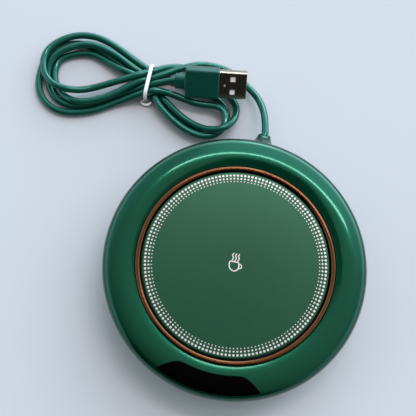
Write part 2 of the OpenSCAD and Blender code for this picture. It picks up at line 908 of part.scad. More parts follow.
module plug_tongue() {
    color(white)
        at_plug()
            union() {
                translate([-usb_in + 1, -tongue_w / 2, -usb_t / 2 + usb_wall + run])
                    cube([usb_in + 1, tongue_w, usb_t - 2 * usb_wall - 2 * run]);
                translate([0, -tongue_w / 2, usb_t / 2 - usb_wall - run - usb_bar])
                    cube([usb_len - 0.4, tongue_w, usb_bar]);
            }
}

module plug_contacts() {
    color([0.85, 0.68, 0.3])
        at_plug()
            for (y = [-3.5, -1, 1, 3.5])
                translate([2.2, y - 0.5, usb_t / 2 - usb_wall - run - usb_bar - 0.15])
                    cube([8, 1, 0.15]);
}

upper_shell();
base_cover();
copper_ring();
heating_plate();
heater_film();
insulation_pad();
plate_carrier();
thermistor();
return_springs();
plate_switch();
switch_plunger();
display_window();
display_board();
digit_module();
touch_foams();
display_cable();
control_board();
board_chips();
capacitor();
wire_sockets();
heater_leads();
sensor_leads();
supply_wires();
cord_inner();
cord_grommet();
cord_clamp();
clamp_screws();
board_screws();
base_screws();
foot_ring();
cord_lead();
cord_hank();
plug_lead();
cord_tie();
plug_grip();
plug_shell();
plug_tongue();
plug_contacts();
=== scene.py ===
"""Dressed model of an electric mug warmer: camera, cord, housing, plate, plug, materials, light."""

import math

import bmesh
import bpy
import numpy as np
from mathutils import Matrix, Vector


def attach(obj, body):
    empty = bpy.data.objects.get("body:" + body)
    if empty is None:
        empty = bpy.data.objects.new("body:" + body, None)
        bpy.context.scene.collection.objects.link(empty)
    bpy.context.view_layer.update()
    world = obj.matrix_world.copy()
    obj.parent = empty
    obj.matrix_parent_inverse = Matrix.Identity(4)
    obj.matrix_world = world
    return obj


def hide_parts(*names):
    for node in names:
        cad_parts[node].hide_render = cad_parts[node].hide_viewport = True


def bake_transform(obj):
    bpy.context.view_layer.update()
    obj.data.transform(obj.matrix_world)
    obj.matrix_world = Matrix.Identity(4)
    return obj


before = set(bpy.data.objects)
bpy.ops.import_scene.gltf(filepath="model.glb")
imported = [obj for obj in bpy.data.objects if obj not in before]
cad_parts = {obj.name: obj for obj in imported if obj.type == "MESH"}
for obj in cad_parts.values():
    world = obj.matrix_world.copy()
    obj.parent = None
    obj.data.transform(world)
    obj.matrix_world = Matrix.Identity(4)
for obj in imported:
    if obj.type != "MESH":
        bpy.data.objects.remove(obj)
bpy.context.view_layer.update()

# Sizes in millimetres, as in the part's source; meshes are scaled to metres when they are made.
MM = 0.001
BODY_R, BODY_H, WALL, JOINT_Z = 53.0, 25.0, 2.0, 5.0
LIP_R, CREST_R, BROW_R = 39.6, 44.784, 49.2
EQUATOR_Z, UNDER_RAD, TURN_RAD = 11.5, 14.0, 5.0
DISH_A, BROW_A = 12.25, 17.0
RING_TOP, SEAT_Z, RING_IN, RING_W = 24.9, 22.6, 37.5, 2.0
PLATE_R, PLATE_TOP, PLATE_T = 36.9, 24.35, 2.0
SKIRT_R, SKIRT_Z = 40.6, 16.5
WINDOW_IN, WINDOW_OUT, WINDOW_IN_A, WINDOW_OUT_A = 43.134, 50.434, 17.0, 23.8
CORD_D = 3.1
EXIT_TURN, EXIT_Z, BOSS_R, EXIT_R = 3.2, 11.5, 58.3, 58.9
TIE_X, TIE_Y, TIE_Z = -51.7, 76.9, 4.3
ON_TABLE = 1.6
PLUG_AT, PLUG_YAW, PLUG_TILT, PLUG_ROLL = (-20.2, 79.7, 10.3), 6.0, 2.3, 42.0
GRIP_W, GRIP_T, GRIP_LEN = 13.2, 7.0, 15.0
NECK_LEN, NECK_W, NECK_T = 4.6, 6.6, 5.4
USB_W, USB_T, USB_LEN, USB_WALL, USB_IN = 12.0, 4.5, 12.0, 0.3, 4.0
CARRIER_Z, COLLAR_Z, SOCKET_TOP, HEATER_Z, SENSOR_Z = 18.4, 8.4, 11.6, 21.7, 20.4
GUIDE_R, GUIDE_ANGLES = 29.5, (30, 150, 270)


def sin_of(degrees):
    return math.sin(math.radians(degrees))


def cos_of(degrees):
    return math.cos(math.radians(degrees))


EXIT_DIR = np.array([sin_of(EXIT_TURN), cos_of(EXIT_TURN), 0.0])
EXIT_SIDE = np.array([EXIT_DIR[1], -EXIT_DIR[0], 0])


# ---- camera

def look_at(position, target, up):
    """World matrix of a camera at position that sees target in the middle, with up upwards."""
    position = Vector(position)
    back = (position - Vector(target)).normalized()
    right = Vector(up).cross(back).normalized()
    turn = Matrix((right, back.cross(right), back)).transposed()
    return Matrix.Translation(position) @ turn.to_4x4()


def new_object(name, data):
    obj = bpy.data.objects.new(name, data)
    bpy.context.collection.objects.link(obj)
    return obj


camera = new_object("camera", bpy.data.cameras.new("camera"))
camera.data.sensor_width = 36
camera.data.lens = 56.25
camera.data.clip_start = 0.01
camera.data.clip_end = 10
camera.matrix_world = look_at(
    (-0.01036, -0.04218, 0.27633), (-0.01474, 0.02064, 0.02), (-0.1805, 0.9836, 0)
)
bpy.context.scene.camera = camera


# ---- mesh helpers

def face_outwards(me):
    bm = bmesh.new()
    bm.from_mesh(me)
    bmesh.ops.recalc_face_normals(bm, faces=bm.faces[:])
    bm.to_mesh(me)
    bm.free()


def make_mesh(name, verts, faces, normals=None, exact=None, sharp=32):
    """Object from points in millimetres. Faces in exact take their shading from normals."""
    me = bpy.data.meshes.new(name)
    me.from_pydata((np.asarray(verts, float) * MM).tolist(), [], faces)
    face_outwards(me)
    me.polygons.foreach_set("use_smooth", [True] * len(me.polygons))
    me.set_sharp_from_angle(angle=math.radians(sharp))
    if normals is not None:
        custom = np.zeros((len(me.loops), 3))
        for poly, is_exact in zip(me.polygons, exact):
            if is_exact:
                custom[list(poly.loop_indices)] = normals[list(poly.vertices)]
        me.normals_split_custom_set(custom.tolist())
    me.update()
    return new_object(name, me)


def finish_piece(obj, slot, body="housing", replaces=(), kind=None):
    """Gives a piece its body and a material, which is the slot's own or another kind's."""
    obj.data.materials.append(MATERIALS[kind or slot])
    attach(obj, body)
    if replaces:
        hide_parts(*replaces)
    return obj


def arc_points(cr, cz, rad, a0, a1, steps):
    """Points of an arc in a profile, its angles in degrees from straight up."""
    angles = np.linspace(a0, a1, steps + 1)
    return [(cr + rad * sin_of(a), cz + rad * cos_of(a)) for a in angles]


def revolve(profile, columns, place=None):
    """Closed profile of (r, z) points turned about Z. Returns points and faces."""
    verts, faces, rows = [], [], []
    for r, z in profile:
        if r == 0:
            rows.append([len(verts)] * columns)
            verts.append((0, 0, z))
            continue
        rows.append(list(range(len(verts), len(verts) + columns)))
        for j in range(columns):
            a = 2 * math.pi * j / columns
            verts.append((r * math.sin(a), -r * math.cos(a), z))
    for i in range(len(rows)):
        a, b = rows[i], rows[(i + 1) % len(rows)]
        if a[0] == a[1] and b[0] == b[1]:
            continue
        for j in range(columns):
            k = (j + 1) % columns
            faces.append(list(dict.fromkeys([a[j], a[k], b[k], b[j]])))
    verts = np.array(verts, float)
    return (verts if place is None else place(verts)), faces


def tangents(line):
    """Unit directions along a line of points."""
    ahead = np.gradient(line, axis=0)
    return ahead / np.linalg.norm(ahead, axis=1)[:, None]


def loop_tangents(loop):
    """Unit directions along a closed line of points."""
    ahead = np.roll(loop, -1, 0) - np.roll(loop, 1, 0)
    return ahead / np.linalg.norm(ahead, axis=1)[:, None]


def run_length(line):
    """Distance along a line of points, at each of them."""
    return np.concatenate([[0], np.cumsum(np.linalg.norm(np.diff(line, axis=0), axis=1))])


def resample(points, count, head=0, tail=0):
    """Even samples of a line, head and tail being left off its ends."""
    p = np.asarray(points, float)
    s = run_length(p)
    even = np.linspace(head, s[-1] - tail, count)
    return np.stack([np.interp(even, s, p[:, k]) for k in range(p.shape[1])], 1)


def merged(parts):
    """Several meshes' points and faces as one mesh's."""
    verts, faces = [], []
    for v, f in parts:
        start = len(verts)
        verts += [tuple(p) for p in v]
        faces += [[k + start for k in face] for face in f]
    return verts, faces


def round_angles(count):
    return np.linspace(0, 2 * math.pi, count, endpoint=False)


def sweep(sections, closed_ends=True):
    """Skin over a list of equally long closed loops of points."""
    verts = np.concatenate(sections)
    n = len(sections[0])
    faces = []
    for i in range(len(sections) - 1):
        for k in range(n):
            j = (k + 1) % n
            faces.append([i * n + k, i * n + j, (i + 1) * n + j, (i + 1) * n + k])
    if closed_ends:
        faces.append(list(range(n))[::-1])
        faces.append(list(range((len(sections) - 1) * n, len(sections) * n)))
    return verts, faces


def closed_sweep(sections):
    """Skin over sections that come round to the first again."""
    verts, faces = sweep([*sections, sections[0]], closed_ends=False)
    n = len(sections) * len(sections[0])
    return verts[:n], [[k % n for k in face] for face in faces]


def catmull(points, step):
    """Even samples, about a step apart, of a smooth curve through the points."""
    p = np.asarray(points, float)
    p = np.concatenate([[2 * p[0] - p[1]], p, [2 * p[-1] - p[-2]]])
    t = np.linspace(0, 1, 24, endpoint=False)[:, None]
    fine = []
    for a, b, c, d in zip(p[:-3], p[1:-2], p[2:-1], p[3:]):
        square = (2 * a - 5 * b + 4 * c - d) * t**2
        cube = (3 * b - a - 3 * c + d) * t**3
        fine.append(0.5 * (2 * b + (c - a) * t + square + cube))
    fine = np.concatenate([*fine, p[-2:-1]])
    return resample(fine, max(2, int(round(run_length(fine)[-1] / step)) + 1))


# ---- cord

PLUG_TURN = np.array(
    Matrix.Rotation(math.radians(PLUG_YAW), 3, "Z")
    @ Matrix.Rotation(math.radians(-PLUG_TILT), 3, "Y")
    @ Matrix.Rotation(math.radians(PLUG_ROLL), 3, "X")
)
PLUG_AIM = PLUG_TURN[:, 0]
PLUG_AT = np.array(PLUG_AT)


def at_plug(points):
    """From the plug's own frame (x along it, the shell's root at 0) to the part's."""
    return np.asarray(points, float) @ PLUG_TURN.T + PLUG_AT


NECK_END = PLUG_AT - (GRIP_LEN + NECK_LEN) * PLUG_AIM
EXIT_P = EXIT_R * EXIT_DIR + [0, 0, EXIT_Z]
EXIT_IN = EXIT_P - 3.5 * EXIT_DIR

# Where the eight strands lie under the tie: four on the table side, four on top of them.
LOW = [(TIE_X, y, 2.7) for y in (82.8, 79.4, 76.1, 72.9)]
TOP = [(TIE_X, y, 5.8) for y in (81.2, 77.8, 74.5, 71.3)]

# The route. A point without a height lies on the table.
ROUTE = [
    # from the boss to the tie
    EXIT_IN, EXIT_P, EXIT_P + 1.5 * EXIT_DIR,
    (2.5, 66.5, 10), (0.5, 73.5, 7.2), (-3.5, 80, 4.6), (-7.5, 83.5, 3.2),
    (-12.5, 87.5, 2.2), (-18, 90.5, 2), (-23.5, 91, 2.6), (-28.5, 90.5, 3.6), (-33, 89, 4.4),
    (-37, 86.5, 5), (-41, 84.5, 5.4), (-45, 81.5, 5.8), (-48.5, 79.5, 6),
    TOP[1],
    # left loop
    (-55, 75.5, 5.4), (-61, 71.5, 4.6), (-67.5, 67, 4.4), (-74, 63.5, 4.4), (-79.5, 61.5, 4.2),
    (-84, 61.5, 3.6), (-88, 63.5, 2.6), (-91.5, 66.5, 1.8), (-94, 70), (-95.5, 73.5), (-95.5, 78),
    (-94, 82), (-89.5, 84.5), (-84.5, 86.5), (-78, 87), (-70.5, 84.5), (-61, 80.5, 1.8),
    (-55.5, 78, 2.4),
    LOW[2],
    # right loop
    (-48.5, 73.6, 2.7), (-45.2, 71, 3.4), (-43, 69.3, 3.9), (-40.1, 67.2, 4.1), (-37.3, 65.4, 4.1),
    (-34.2, 63.4, 4.1), (-31.1, 61.9, 4.1), (-27.6, 60.5, 4.3), (-24.2, 59.5, 4.9),
    (-20.8, 58.9, 5.9), (-17.6, 59.1, 6.9), (-14.9, 60.2, 7.4), (-12.5, 62.5, 6.9),
    (-11, 65.5, 5.6), (-10.3, 68.7, 4.1), (-10.3, 71.6, 2.9), (-11.2, 74.4, 2), (-13.3, 77.3),
    (-16.3, 79.6), (-20.3, 81.6), (-26, 84.5), (-32, 87, 1.8), (-38, 88, 2.6), (-44, 86, 4),
    (-49, 83, 5.4),
    TOP[0],
    # left loop
    (-55, 79.5, 6), (-60, 76.5, 6.2), (-67.5, 73, 5.6), (-75, 69.5, 4.6), (-80.5, 67, 5.2),
    (-84.5, 66, 6), (-89, 66, 6.2), (-93, 67, 6), (-96.5, 69.5, 5.6), (-99, 73, 5),
    (-100.5, 77.5, 4.6), (-100.5, 82, 4.6), (-98.5, 86, 4.6), (-95, 89.5, 4.6), (-90.5, 92.5, 4.4),
    (-86, 94, 4.2), (-81, 94.5, 4), (-75.5, 93.5, 3.8), (-70, 91.5, 3.6), (-64, 88.5, 3.4),
    (-58, 85.5, 3),
    LOW[0],
    # right loop
    (-47.5, 81.5, 2.2), (-40.5, 81), (-32.5, 80), (-25, 78), (-20, 75.9), (-16.3, 73),
    (-14.2, 69.8), (-13.7, 66.5), (-14.4, 63.3), (-16.1, 60.8), (-18.6, 59), (-21.4, 58.1),
    (-24.4, 57.9), (-27.5, 58.5), (-31, 59.8), (-34, 61.2), (-37, 63), (-40.1, 65), (-43.3, 67.4),
    (-46.8, 70.2, 1.9),
    LOW[3],
    # left loop
    (-56.5, 78, 2), (-62.5, 81.5), (-70.5, 85.5), (-78, 89), (-85.5, 91), (-92.5, 89.5),
    (-98, 85.5), (-101, 79.5), (-101.5, 73.5), (-101, 67.5), (-99, 63), (-95, 59), (-90.5, 57),
    (-86, 56.5), (-80.5, 57.5), (-73.5, 60), (-67, 64, 1.8), (-60.5, 67.5, 2.8), (-55, 70, 5),
    TOP[3],
    # right loop
    (-47.6, 72.6, 5.3), (-44.9, 73.1, 5), (-41.6, 73.1, 4.7), (-38.2, 72.6, 4.5),
    (-34.7, 71.8, 4.4), (-31.3, 71.2, 4.3), (-27.9, 70.9, 4.2), (-24.6, 71, 4.3),
    (-21.6, 71.4, 4.5), (-18.8, 71.4, 4.7), (-16.4, 70.4, 4.7), (-14.8, 68.5, 4.7),
    (-14.1, 66, 4.7), (-14.3, 63.4, 4.7), (-15.2, 60.8, 4.6), (-17.3, 58.4, 4.4),
    (-20.2, 56.9, 4.2), (-24, 56.2, 4.1), (-27.4, 56.7, 4.1), (-30.9, 57.7, 4.1), (-33.9, 59, 4.1),
    (-36.9, 60.8, 4.1), (-40.1, 62.8, 4.1), (-43, 65.2, 4), (-45.7, 67.6, 3.7), (-49.2, 72.2, 3),
    LOW[1],
    # left loop
    (-61.5, 83, 3), (-70.5, 87.5, 3.6), (-78, 89.5, 4), (-84.5, 89.5, 4.4), (-89.5, 87, 4.4),
    (-94.5, 84, 4.2), (-97.5, 79.5, 3.4), (-98, 75, 2.4), (-97, 70.5), (-95, 66), (-92, 62.5),
    (-88, 61), (-83, 60.5), (-77, 62), (-68, 67, 1.8), (-61.5, 71, 2.6), (-55.5, 73.5, 4.8),
    TOP[2],
    # to the plug
    (-47.5, 76.2, 6.4), (-44, 77, 8), NECK_END - 1.5 * PLUG_AIM - [0, 0, 0.3], NECK_END,
    NECK_END + 1.5 * PLUG_AIM,
]
ROUTE = [point if len(point) == 3 else (*point, ON_TABLE) for point in ROUTE]

PLUG_BOXES = [
    ((-GRIP_LEN, 0), GRIP_W / 2, GRIP_T / 2),
    ((-GRIP_LEN - NECK_LEN, -GRIP_LEN), NECK_W / 2, NECK_T / 2),
    ((0, USB_LEN), USB_W / 2, USB_T / 2),
]


def settle(route, dia, step=1.5, rounds=160, hold=0.985, gap=1.01):
    """Lays the route down, smoothed: strands a diameter apart, on the table and under the plug.

    Each round pushes the points apart and then draws them back a little, by hold, to the route.
    """
    p = catmull(route, step)
    n = len(p)
    along = np.arange(n) * step
    total = along[-1]
    free = ~((np.abs(p[:, 0] - TIE_X) < 1.3) | (along < 6) | (along > total - 9))
    apart = np.abs(np.arange(n)[:, None] - np.arange(n)[None]) * step > 3 * dia

    def eased(q):
        out = q.copy()
        out[1:-1] = 0.25 * q[:-2] + 0.5 * q[1:-1] + 0.25 * q[2:]
        return out

    for _ in range(6):
        p[free] = eased(p)[free]
    home = p.copy()
    for _ in range(rounds):
        tangent = tangents(p)
        d = p[:, None] - p[None]
        dist = np.linalg.norm(d, axis=2)
        i, j = np.nonzero(apart & (dist < dia * gap))
        push = np.zeros_like(p)
        count = np.ones(n)
        if len(i):
            v = d[i, j]
            crossing = 1 - np.abs((tangent[i] * tangent[j]).sum(1))
            flat = np.clip(1 - crossing / 0.25, 0, 1)[:, None]
            v = v * np.concatenate([flat, flat, np.ones_like(flat)], 1)
            tiny = np.abs(v[:, 2]) < 0.05
            v[tiny, 2] = 0.05 * np.sign(home[i, 2] - home[j, 2] + 1e-6)[tiny]
            v /= np.linalg.norm(v, axis=1)[:, None]
            amount = 0.5 * (dia * gap - dist[i, j])
            np.add.at(push, i, v * amount[:, None])
            np.add.at(count, i, 0.5)
        p[free] += (push / count[:, None])[free]
        local = (p - PLUG_AT) @ PLUG_TURN
        for (x0, x1), half_y, half_z in PLUG_BOXES:
            past = np.abs(local - [(x0 + x1) / 2, 0, 0]) - [(x1 - x0) / 2, half_y, half_z]
            away = np.linalg.norm(np.maximum(past, 0), axis=1)
            near = free & (away < dia / 2) & (along < total - 14)
            p[near, 2] -= 0.5 * (dia / 2 - away[near])
        p[free] = (home + hold * eased(p - home))[free]
        p[free, 2] = np.maximum(p[free, 2], dia / 2)
    return p


def cord_curve(name, points, dia):
    curve = bpy.data.curves.new(name, "CURVE")
    curve.dimensions = "3D"
    curve.resolution_u = 3
    curve.bevel_depth = dia / 2 * MM
    curve.bevel_resolution = 7
    curve.use_fill_caps = True
    spline = curve.splines.new("BEZIER")
    spline.bezier_points.add(len(points) - 1)
    for knot, point in zip(spline.bezier_points, points):
        knot.co = Vector(point) * MM
        knot.handle_left_type = knot.handle_right_type = "AUTO"
    return new_object(name, curve)


cord = cord_curve("cord", settle(ROUTE, CORD_D), CORD_D)


# ---- materials

def blank_material(name):
    mat = bpy.data.materials.new(name)
    mat.use_nodes = True
    return mat, mat.node_tree.nodes["Principled BSDF"]


def material(
    name, colour, roughness=0.4, metallic=0.0, vary=0.06, scale=300, bump=0.0, bump_scale=900,
    coat=0.0, coat_rough=0.05, rough_vary=0.03, specular=0.5, tint=(1, 1, 1),
):
    """Principled material with fine procedural variation of colour, roughness and relief."""
    mat, bsdf = blank_material(name)
    nodes, links = mat.node_tree.nodes, mat.node_tree.links
    for socket, value in (
        ("Metallic", metallic), ("IOR", 1.5), ("Coat Weight", coat), ("Coat Roughness", coat_rough),
        ("Specular IOR Level", specular), ("Specular Tint", (*tint, 1)),
    ):
        bsdf.inputs[socket].default_value = value
    where = nodes.new("ShaderNodeTexCoord").outputs["Object"]

    def noise(size, detail):
        node = nodes.new("ShaderNodeTexNoise")
        node.inputs["Scale"].default_value = size
        node.inputs["Detail"].default_value = detail
        links.new(where, node.inputs["Vector"])
        return node.outputs["Fac"]

    mottle = noise(scale, 3)
    mix = nodes.new("ShaderNodeMix")
    mix.data_type = "RGBA"
    mix.inputs[6].default_value = (*(c * (1 - vary) for c in colour), 1)
    mix.inputs[7].default_value = (*(min(1, c * (1 + vary)) for c in colour), 1)
    links.new(mottle, mix.inputs[0])
    links.new(mix.outputs[2], bsdf.inputs["Base Color"])
    rough = nodes.new("ShaderNodeMapRange")
    rough.inputs["To Min"].default_value = max(0.02, roughness - rough_vary)
    rough.inputs["To Max"].default_value = roughness + rough_vary
    links.new(mottle, rough.inputs["Value"])
    links.new(rough.outputs["Result"], bsdf.inputs["Roughness"])
    if bump:
        relief = nodes.new("ShaderNodeBump")
        relief.inputs["Strength"].default_value = bump
        relief.inputs["Distance"].default_value = 0.0001
        links.new(noise(bump_scale, 2), relief.inputs["Height"])
        links.new(relief.outputs["Normal"], bsdf.inputs["Normal"])
    return mat


# Colour, roughness and the rest that differs from the plain kind.
KINDS = {
    "shell_green": ((0.0006, 0.0125, 0.0055), 0.15, dict(
        vary=0.05, rough_vary=0.01, tint=(0.04, 0.93, 0.47), coat=0.19, coat_rough=0.04,
    )),
    "plate_green": ((0.0006, 0.013, 0.005), 0.34, dict(
        vary=0.05, bump=0.03, bump_scale=2600, tint=(0.34, 1.0, 0.6),
    )),
    "copper": ((0.096, 0.029, 0.004), 0.08, dict(
        metallic=1.0, vary=0.03, bump=0.03, bump_scale=600, coat=0.3, coat_rough=0.06,
    )),
    "film": ((0.42, 0.20, 0.05), 0.35, {}),
    "felt": ((0.62, 0.56, 0.46), 0.95, dict(bump=0.8, bump_scale=2500)),
    "carrier_black": ((0.012, 0.012, 0.013), 0.45, dict(bump=0.2, bump_scale=2200)),
    "part_black": ((0.015, 0.015, 0.016), 0.4, dict(bump=0.15)),
    "spring_steel": ((0.55, 0.55, 0.56), 0.25, dict(metallic=1.0)),
    "part_white": ((0.78, 0.78, 0.75), 0.45, dict(bump=0.1)),
    "window_black": ((0.0006, 0.0006, 0.0007), 0.05, dict(vary=0.1, specular=0.005)),
    "board_green": ((0.015, 0.16, 0.05), 0.35, dict(vary=0.2, scale=900)),
    "foam": ((0.05, 0.05, 0.055), 0.9, dict(bump=0.6, bump_scale=3000)),
    "ribbon": ((0.70, 0.68, 0.62), 0.4, {}),
    "capacitor_blue": ((0.02, 0.05, 0.20), 0.3, {}),
    "wire_red": ((0.45, 0.015, 0.012), 0.35, {}),
    "wire_yellow": ((0.70, 0.55, 0.05), 0.35, {}),
    "cord_green": ((0.0012, 0.036, 0.022), 0.12, dict(
        vary=0.05, bump=0.03, bump_scale=1500, tint=(0.16, 1.0, 0.72), coat=0.22, coat_rough=0.04,
    )),
    "grip_green": ((0.002, 0.042, 0.026), 0.28, dict(
        vary=0.05, bump=0.15, bump_scale=2200, tint=(0.5, 1.0, 0.9),
    )),
    "steel": ((0.62, 0.62, 0.63), 0.22, dict(metallic=1.0)),
    "foot_rubber": ((0.016, 0.016, 0.017), 0.7, dict(bump=0.3)),
    "tie_white": ((0.66, 0.68, 0.66), 0.35, dict(bump=0.1, vary=0.02)),
    "plug_metal": ((0.42, 0.36, 0.27), 0.12, dict(metallic=1.0, vary=0.03, bump=0.03)),
    "contact_gold": ((0.85, 0.60, 0.22), 0.2, dict(metallic=1.0)),
    "print_silver": ((0.40, 0.38, 0.33), 0.42, dict(metallic=0.5, vary=0.05)),
}
MATERIALS = {
    name: material(name, colour, roughness, **rest)
    for name, (colour, roughness, rest) in KINDS.items()
}

for node_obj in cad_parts.values():
    for holder in node_obj.material_slots:
        key = holder.material.name.split(".")[0] if holder.material else ""
        if key in MATERIALS:
            holder.material = MATERIALS[key]


# ---- upper shell

class Outline:
    """The body's outer section as one smooth line of arcs, read by the distance along it."""

    def __init__(self):
        dish_rad = (CREST_R - LIP_R) / sin_of(DISH_A)
        brow_rad = (BROW_R - CREST_R) / sin_of(BROW_A)
        turn_c = (
            BROW_R - TURN_RAD * sin_of(BROW_A),
            BODY_H - brow_rad + (brow_rad - TURN_RAD) * cos_of(BROW_A),
        )
        out, up = BODY_R - turn_c[0], turn_c[1] - EQUATOR_Z
        side_rad = (out**2 + up**2 - TURN_RAD**2) / (2 * (out - TURN_RAD))
        side_c = (BODY_R - side_rad, EQUATOR_Z)
        turn_a = math.degrees(math.atan2(turn_c[0] - side_c[0], turn_c[1] - side_c[1]))
        under_c = (BODY_R - UNDER_RAD, EQUATOR_Z)
        lip = 0.3
        lip_a = math.degrees(math.asin((CREST_R - LIP_R - lip) / (dish_rad - lip)))
        lip_c = (LIP_R + lip, BODY_H - dish_rad + (dish_rad - lip) * cos_of(lip_a))
        self.edge = 0.25
        below = (EQUATOR_Z - JOINT_Z - self.edge) / (UNDER_RAD - self.edge)
        joint_a = 90 + math.degrees(math.asin(below))
        self.joint_a, self.under_c = joint_a, under_c
        arcs = [
            (lip_c, lip, -90, -lip_a, 6),
            ((CREST_R, BODY_H - dish_rad), dish_rad, -lip_a, 0, 12),
            ((CREST_R, BODY_H - brow_rad), brow_rad, 0, BROW_A, 10),
            (turn_c, TURN_RAD, BROW_A, turn_a, 26),
            (side_c, side_rad, turn_a, 90, 10),
            (under_c, UNDER_RAD, 90, joint_a, 9),
        ]
        fine, stations, run = [], [0.0], 0.0
        for (cr, cz), rad, a0, a1, count in arcs:
            a = np.radians(np.linspace(a0, a1, 401))
            s = run + rad * np.radians(np.linspace(0, abs(a1 - a0), 401))
            sin, cos = np.sin(a), np.cos(a)
            fine.append(np.stack([s, cr + rad * sin, cz + rad * cos, sin, cos], 1))
            stations += list(np.linspace(run, s[-1], count + 1)[1:])
            run = s[-1]
        self.table = np.concatenate(fine)
        self.stations = np.array(stations)

    def at(self, s):
        """r, z and the normal's r and z at distance s."""
        run, *rest = self.table.T
        return np.stack([np.interp(s, run, values) for values in rest], -1)

    def s_of_r(self, r):
        top = self.table[: int(np.argmax(self.table[:, 1]))]
        return np.interp(r, top[:, 1], top[:, 0])

    def s_of_z(self, z):
        low = self.table[int(np.argmax(self.table[:, 2])):]
        return np.interp(-np.asarray(z), -low[:, 2], low[:, 0])

    def point(self, s, theta, deep=0.0):
        """Points and normals on the body, theta from the front, deep below the surface."""
        s, theta = np.broadcast_arrays(np.asarray(s, float), np.asarray(theta, float))
        r, z, nr, nz = np.moveaxis(self.at(s), -1, 0)
        r, z = r - deep * nr, z - deep * nz
        sin, cos = np.sin(theta), np.cos(theta)
        return np.stack([r * sin, -r * cos, z], -1), np.stack([nr * sin, -nr * cos, nz], -1)


OUT = Outline()
COLUMNS = 288
STEP = 2 * math.pi / COLUMNS


class Skin:
    """Collects points, exact normals and faces of one closed mesh."""

    def __init__(self):
        self.verts, self.normals, self.faces, self.exact = [], [], [], []

    def add(self, points, normals=None):
        points = np.asarray(points, float).reshape(-1, 3)
        if normals is None:
            normals = np.zeros_like(points)
        start = len(self.verts)
        self.verts.extend(points)
        self.normals.extend(np.asarray(normals).reshape(-1, 3))
        return list(range(start, start + len(points)))

    def face(self, ids, exact=False):
        self.faces.append(ids)
        self.exact.append(exact)

    def quads(self, a, b, exact=False, closed=True):
        n = len(a)
        for k in range(n if closed else n - 1):
            j = (k + 1) % n
            self.face([a[k], a[j], b[j], b[k]], exact)

    def draw(self, loop, points, normals=None, exact=False):
        """Band of quads from a loop to new points, which are returned as the next loop."""
        new = self.add(points, normals)
        self.quads(loop, new, exact)
        return new

    def build(self, name):
        used = sorted({k for face in self.faces for k in face})
        new = {k: i for i, k in enumerate(used)}
        verts = np.array(self.verts)[used]
        normals = np.array(self.normals)[used]
        faces = [[new[k] for k in face] for face in self.faces]
        return make_mesh(name, verts, faces, normals, self.exact)


def window_loop(counts):
    """Plan of the window as a closed loop of points, its middle opposite the cord exit.

    Its sides have the given numbers of steps: inner edge, right end, outer edge, left end.
    """
    middle = -math.radians(EXIT_TURN)

    def on(r, degrees):
        a = middle + math.radians(degrees)
        return np.array([r * math.sin(a), -r * math.cos(a)])

    def end(p, q):
        """Line from p to q that bulges outwards a little."""
        t = np.linspace(0, 1, 61)[:, None]
        away = np.array([(q - p)[1], (p - q)[0]])
        away *= math.copysign(0.25 / np.linalg.norm(away), away @ (p + q - on(90, 0)))
        return p + (q - p) * t + away * 4 * t * (1 - t)

    inner = np.array([on(WINDOW_IN, a) for a in np.linspace(-WINDOW_IN_A, WINDOW_IN_A, 121)])
    outer = np.array([on(WINDOW_OUT, a) for a in np.linspace(WINDOW_OUT_A, -WINDOW_OUT_A, 161)])
    sides = [inner, end(inner[-1], outer[0]), outer, end(outer[-1], inner[0])]
    trims = [(3.2, 3.2), (2.6, 1.0), (1.0, 1.0), (1.0, 2.6)]  # taken off each side's ends
    parts = [resample(line, 80, *trim) for line, trim in zip(sides, trims)]
    rounds = []
    for k in range(4):
        t = np.linspace(0, 1, 25)[:, None]
        before, corner, after = parts[k - 1][-1], sides[k][0], parts[k][0]
        rounds.append((1 - t) ** 2 * before + 2 * t * (1 - t) * corner + t**2 * after)
    loop = []
    for k in range(4):
        side = np.concatenate([rounds[k][12:-1], parts[k], rounds[(k + 1) % 4][1:13]])
        loop.append(resample(side, counts[k] + 1)[:-1])
    return np.concatenate(loop)


def offset_loop(loop, distance):
    """A closed plan loop moved outwards by distance."""
    ahead, tangent = np.roll(loop, -1, 0), loop_tangents(loop)
    normal = np.stack([tangent[:, 1], -tangent[:, 0]], 1)
    area = 0.5 * np.sum(loop[:, 0] * ahead[:, 1] - ahead[:, 0] * loop[:, 1])
    return loop + normal * distance * (1 if area > 0 else -1)


def plan_to_body(loop):
    """(s, theta) of points given in plan on the top of the body."""
    r = np.hypot(loop[:, 0], loop[:, 1])
    return np.stack([OUT.s_of_r(r), np.arctan2(loop[:, 0], -loop[:, 1])], 1)


def four_sides(loop, counts):
    """The sides of a closed loop as a grid's first row, last column, last row and first column."""
    a, b, c, _ = counts
    round_again = np.concatenate([loop, loop[:1]])
    cuts = (0, a, a + b, a + b + c, len(loop))
    first, last_col, last, first_col = (round_again[i : j + 1] for i, j in zip(cuts, cuts[1:]))
    return first, last_col, last[::-1], first_col[::-1]


def coons(loop, counts):
    """Grid of values filled in between the four sides of a closed loop."""
    bottom, right, top, left = four_sides(loop, counts)
    u = np.arange(counts[0] + 1)[None, :, None] / counts[0]
    v = np.arange(counts[1] + 1)[:, None, None] / counts[1]
    return (
        (1 - v) * bottom + v * top + (1 - u) * left[:, None] + u * right[:, None]
        - (1 - u) * (1 - v) * bottom[0] - u * (1 - v) * bottom[-1]
        - (1 - u) * v * top[0] - u * v * top[-1]
    )


def fill(skin, loop_ids, plan_loop, counts, deep, exact=False):
    """Closes a loop of existing points with a curved grid that follows the body's surface."""
    grid = coons(plan_to_body(plan_loop), counts)
    points, normals = OUT.point(grid[..., 0], grid[..., 1], deep)
    ids = np.zeros(grid.shape[:2], int)
    inner = skin.add(points[1:-1, 1:-1], normals[1:-1, 1:-1])
    ids[1:-1, 1:-1] = np.reshape(inner, ids[1:-1, 1:-1].shape)
    ids[0], ids[:, -1], ids[-1], ids[:, 0] = four_sides(np.array(loop_ids), counts)
    for a, b in zip(ids[:-1], ids[1:]):
        skin.quads(a, b, exact, closed=False)


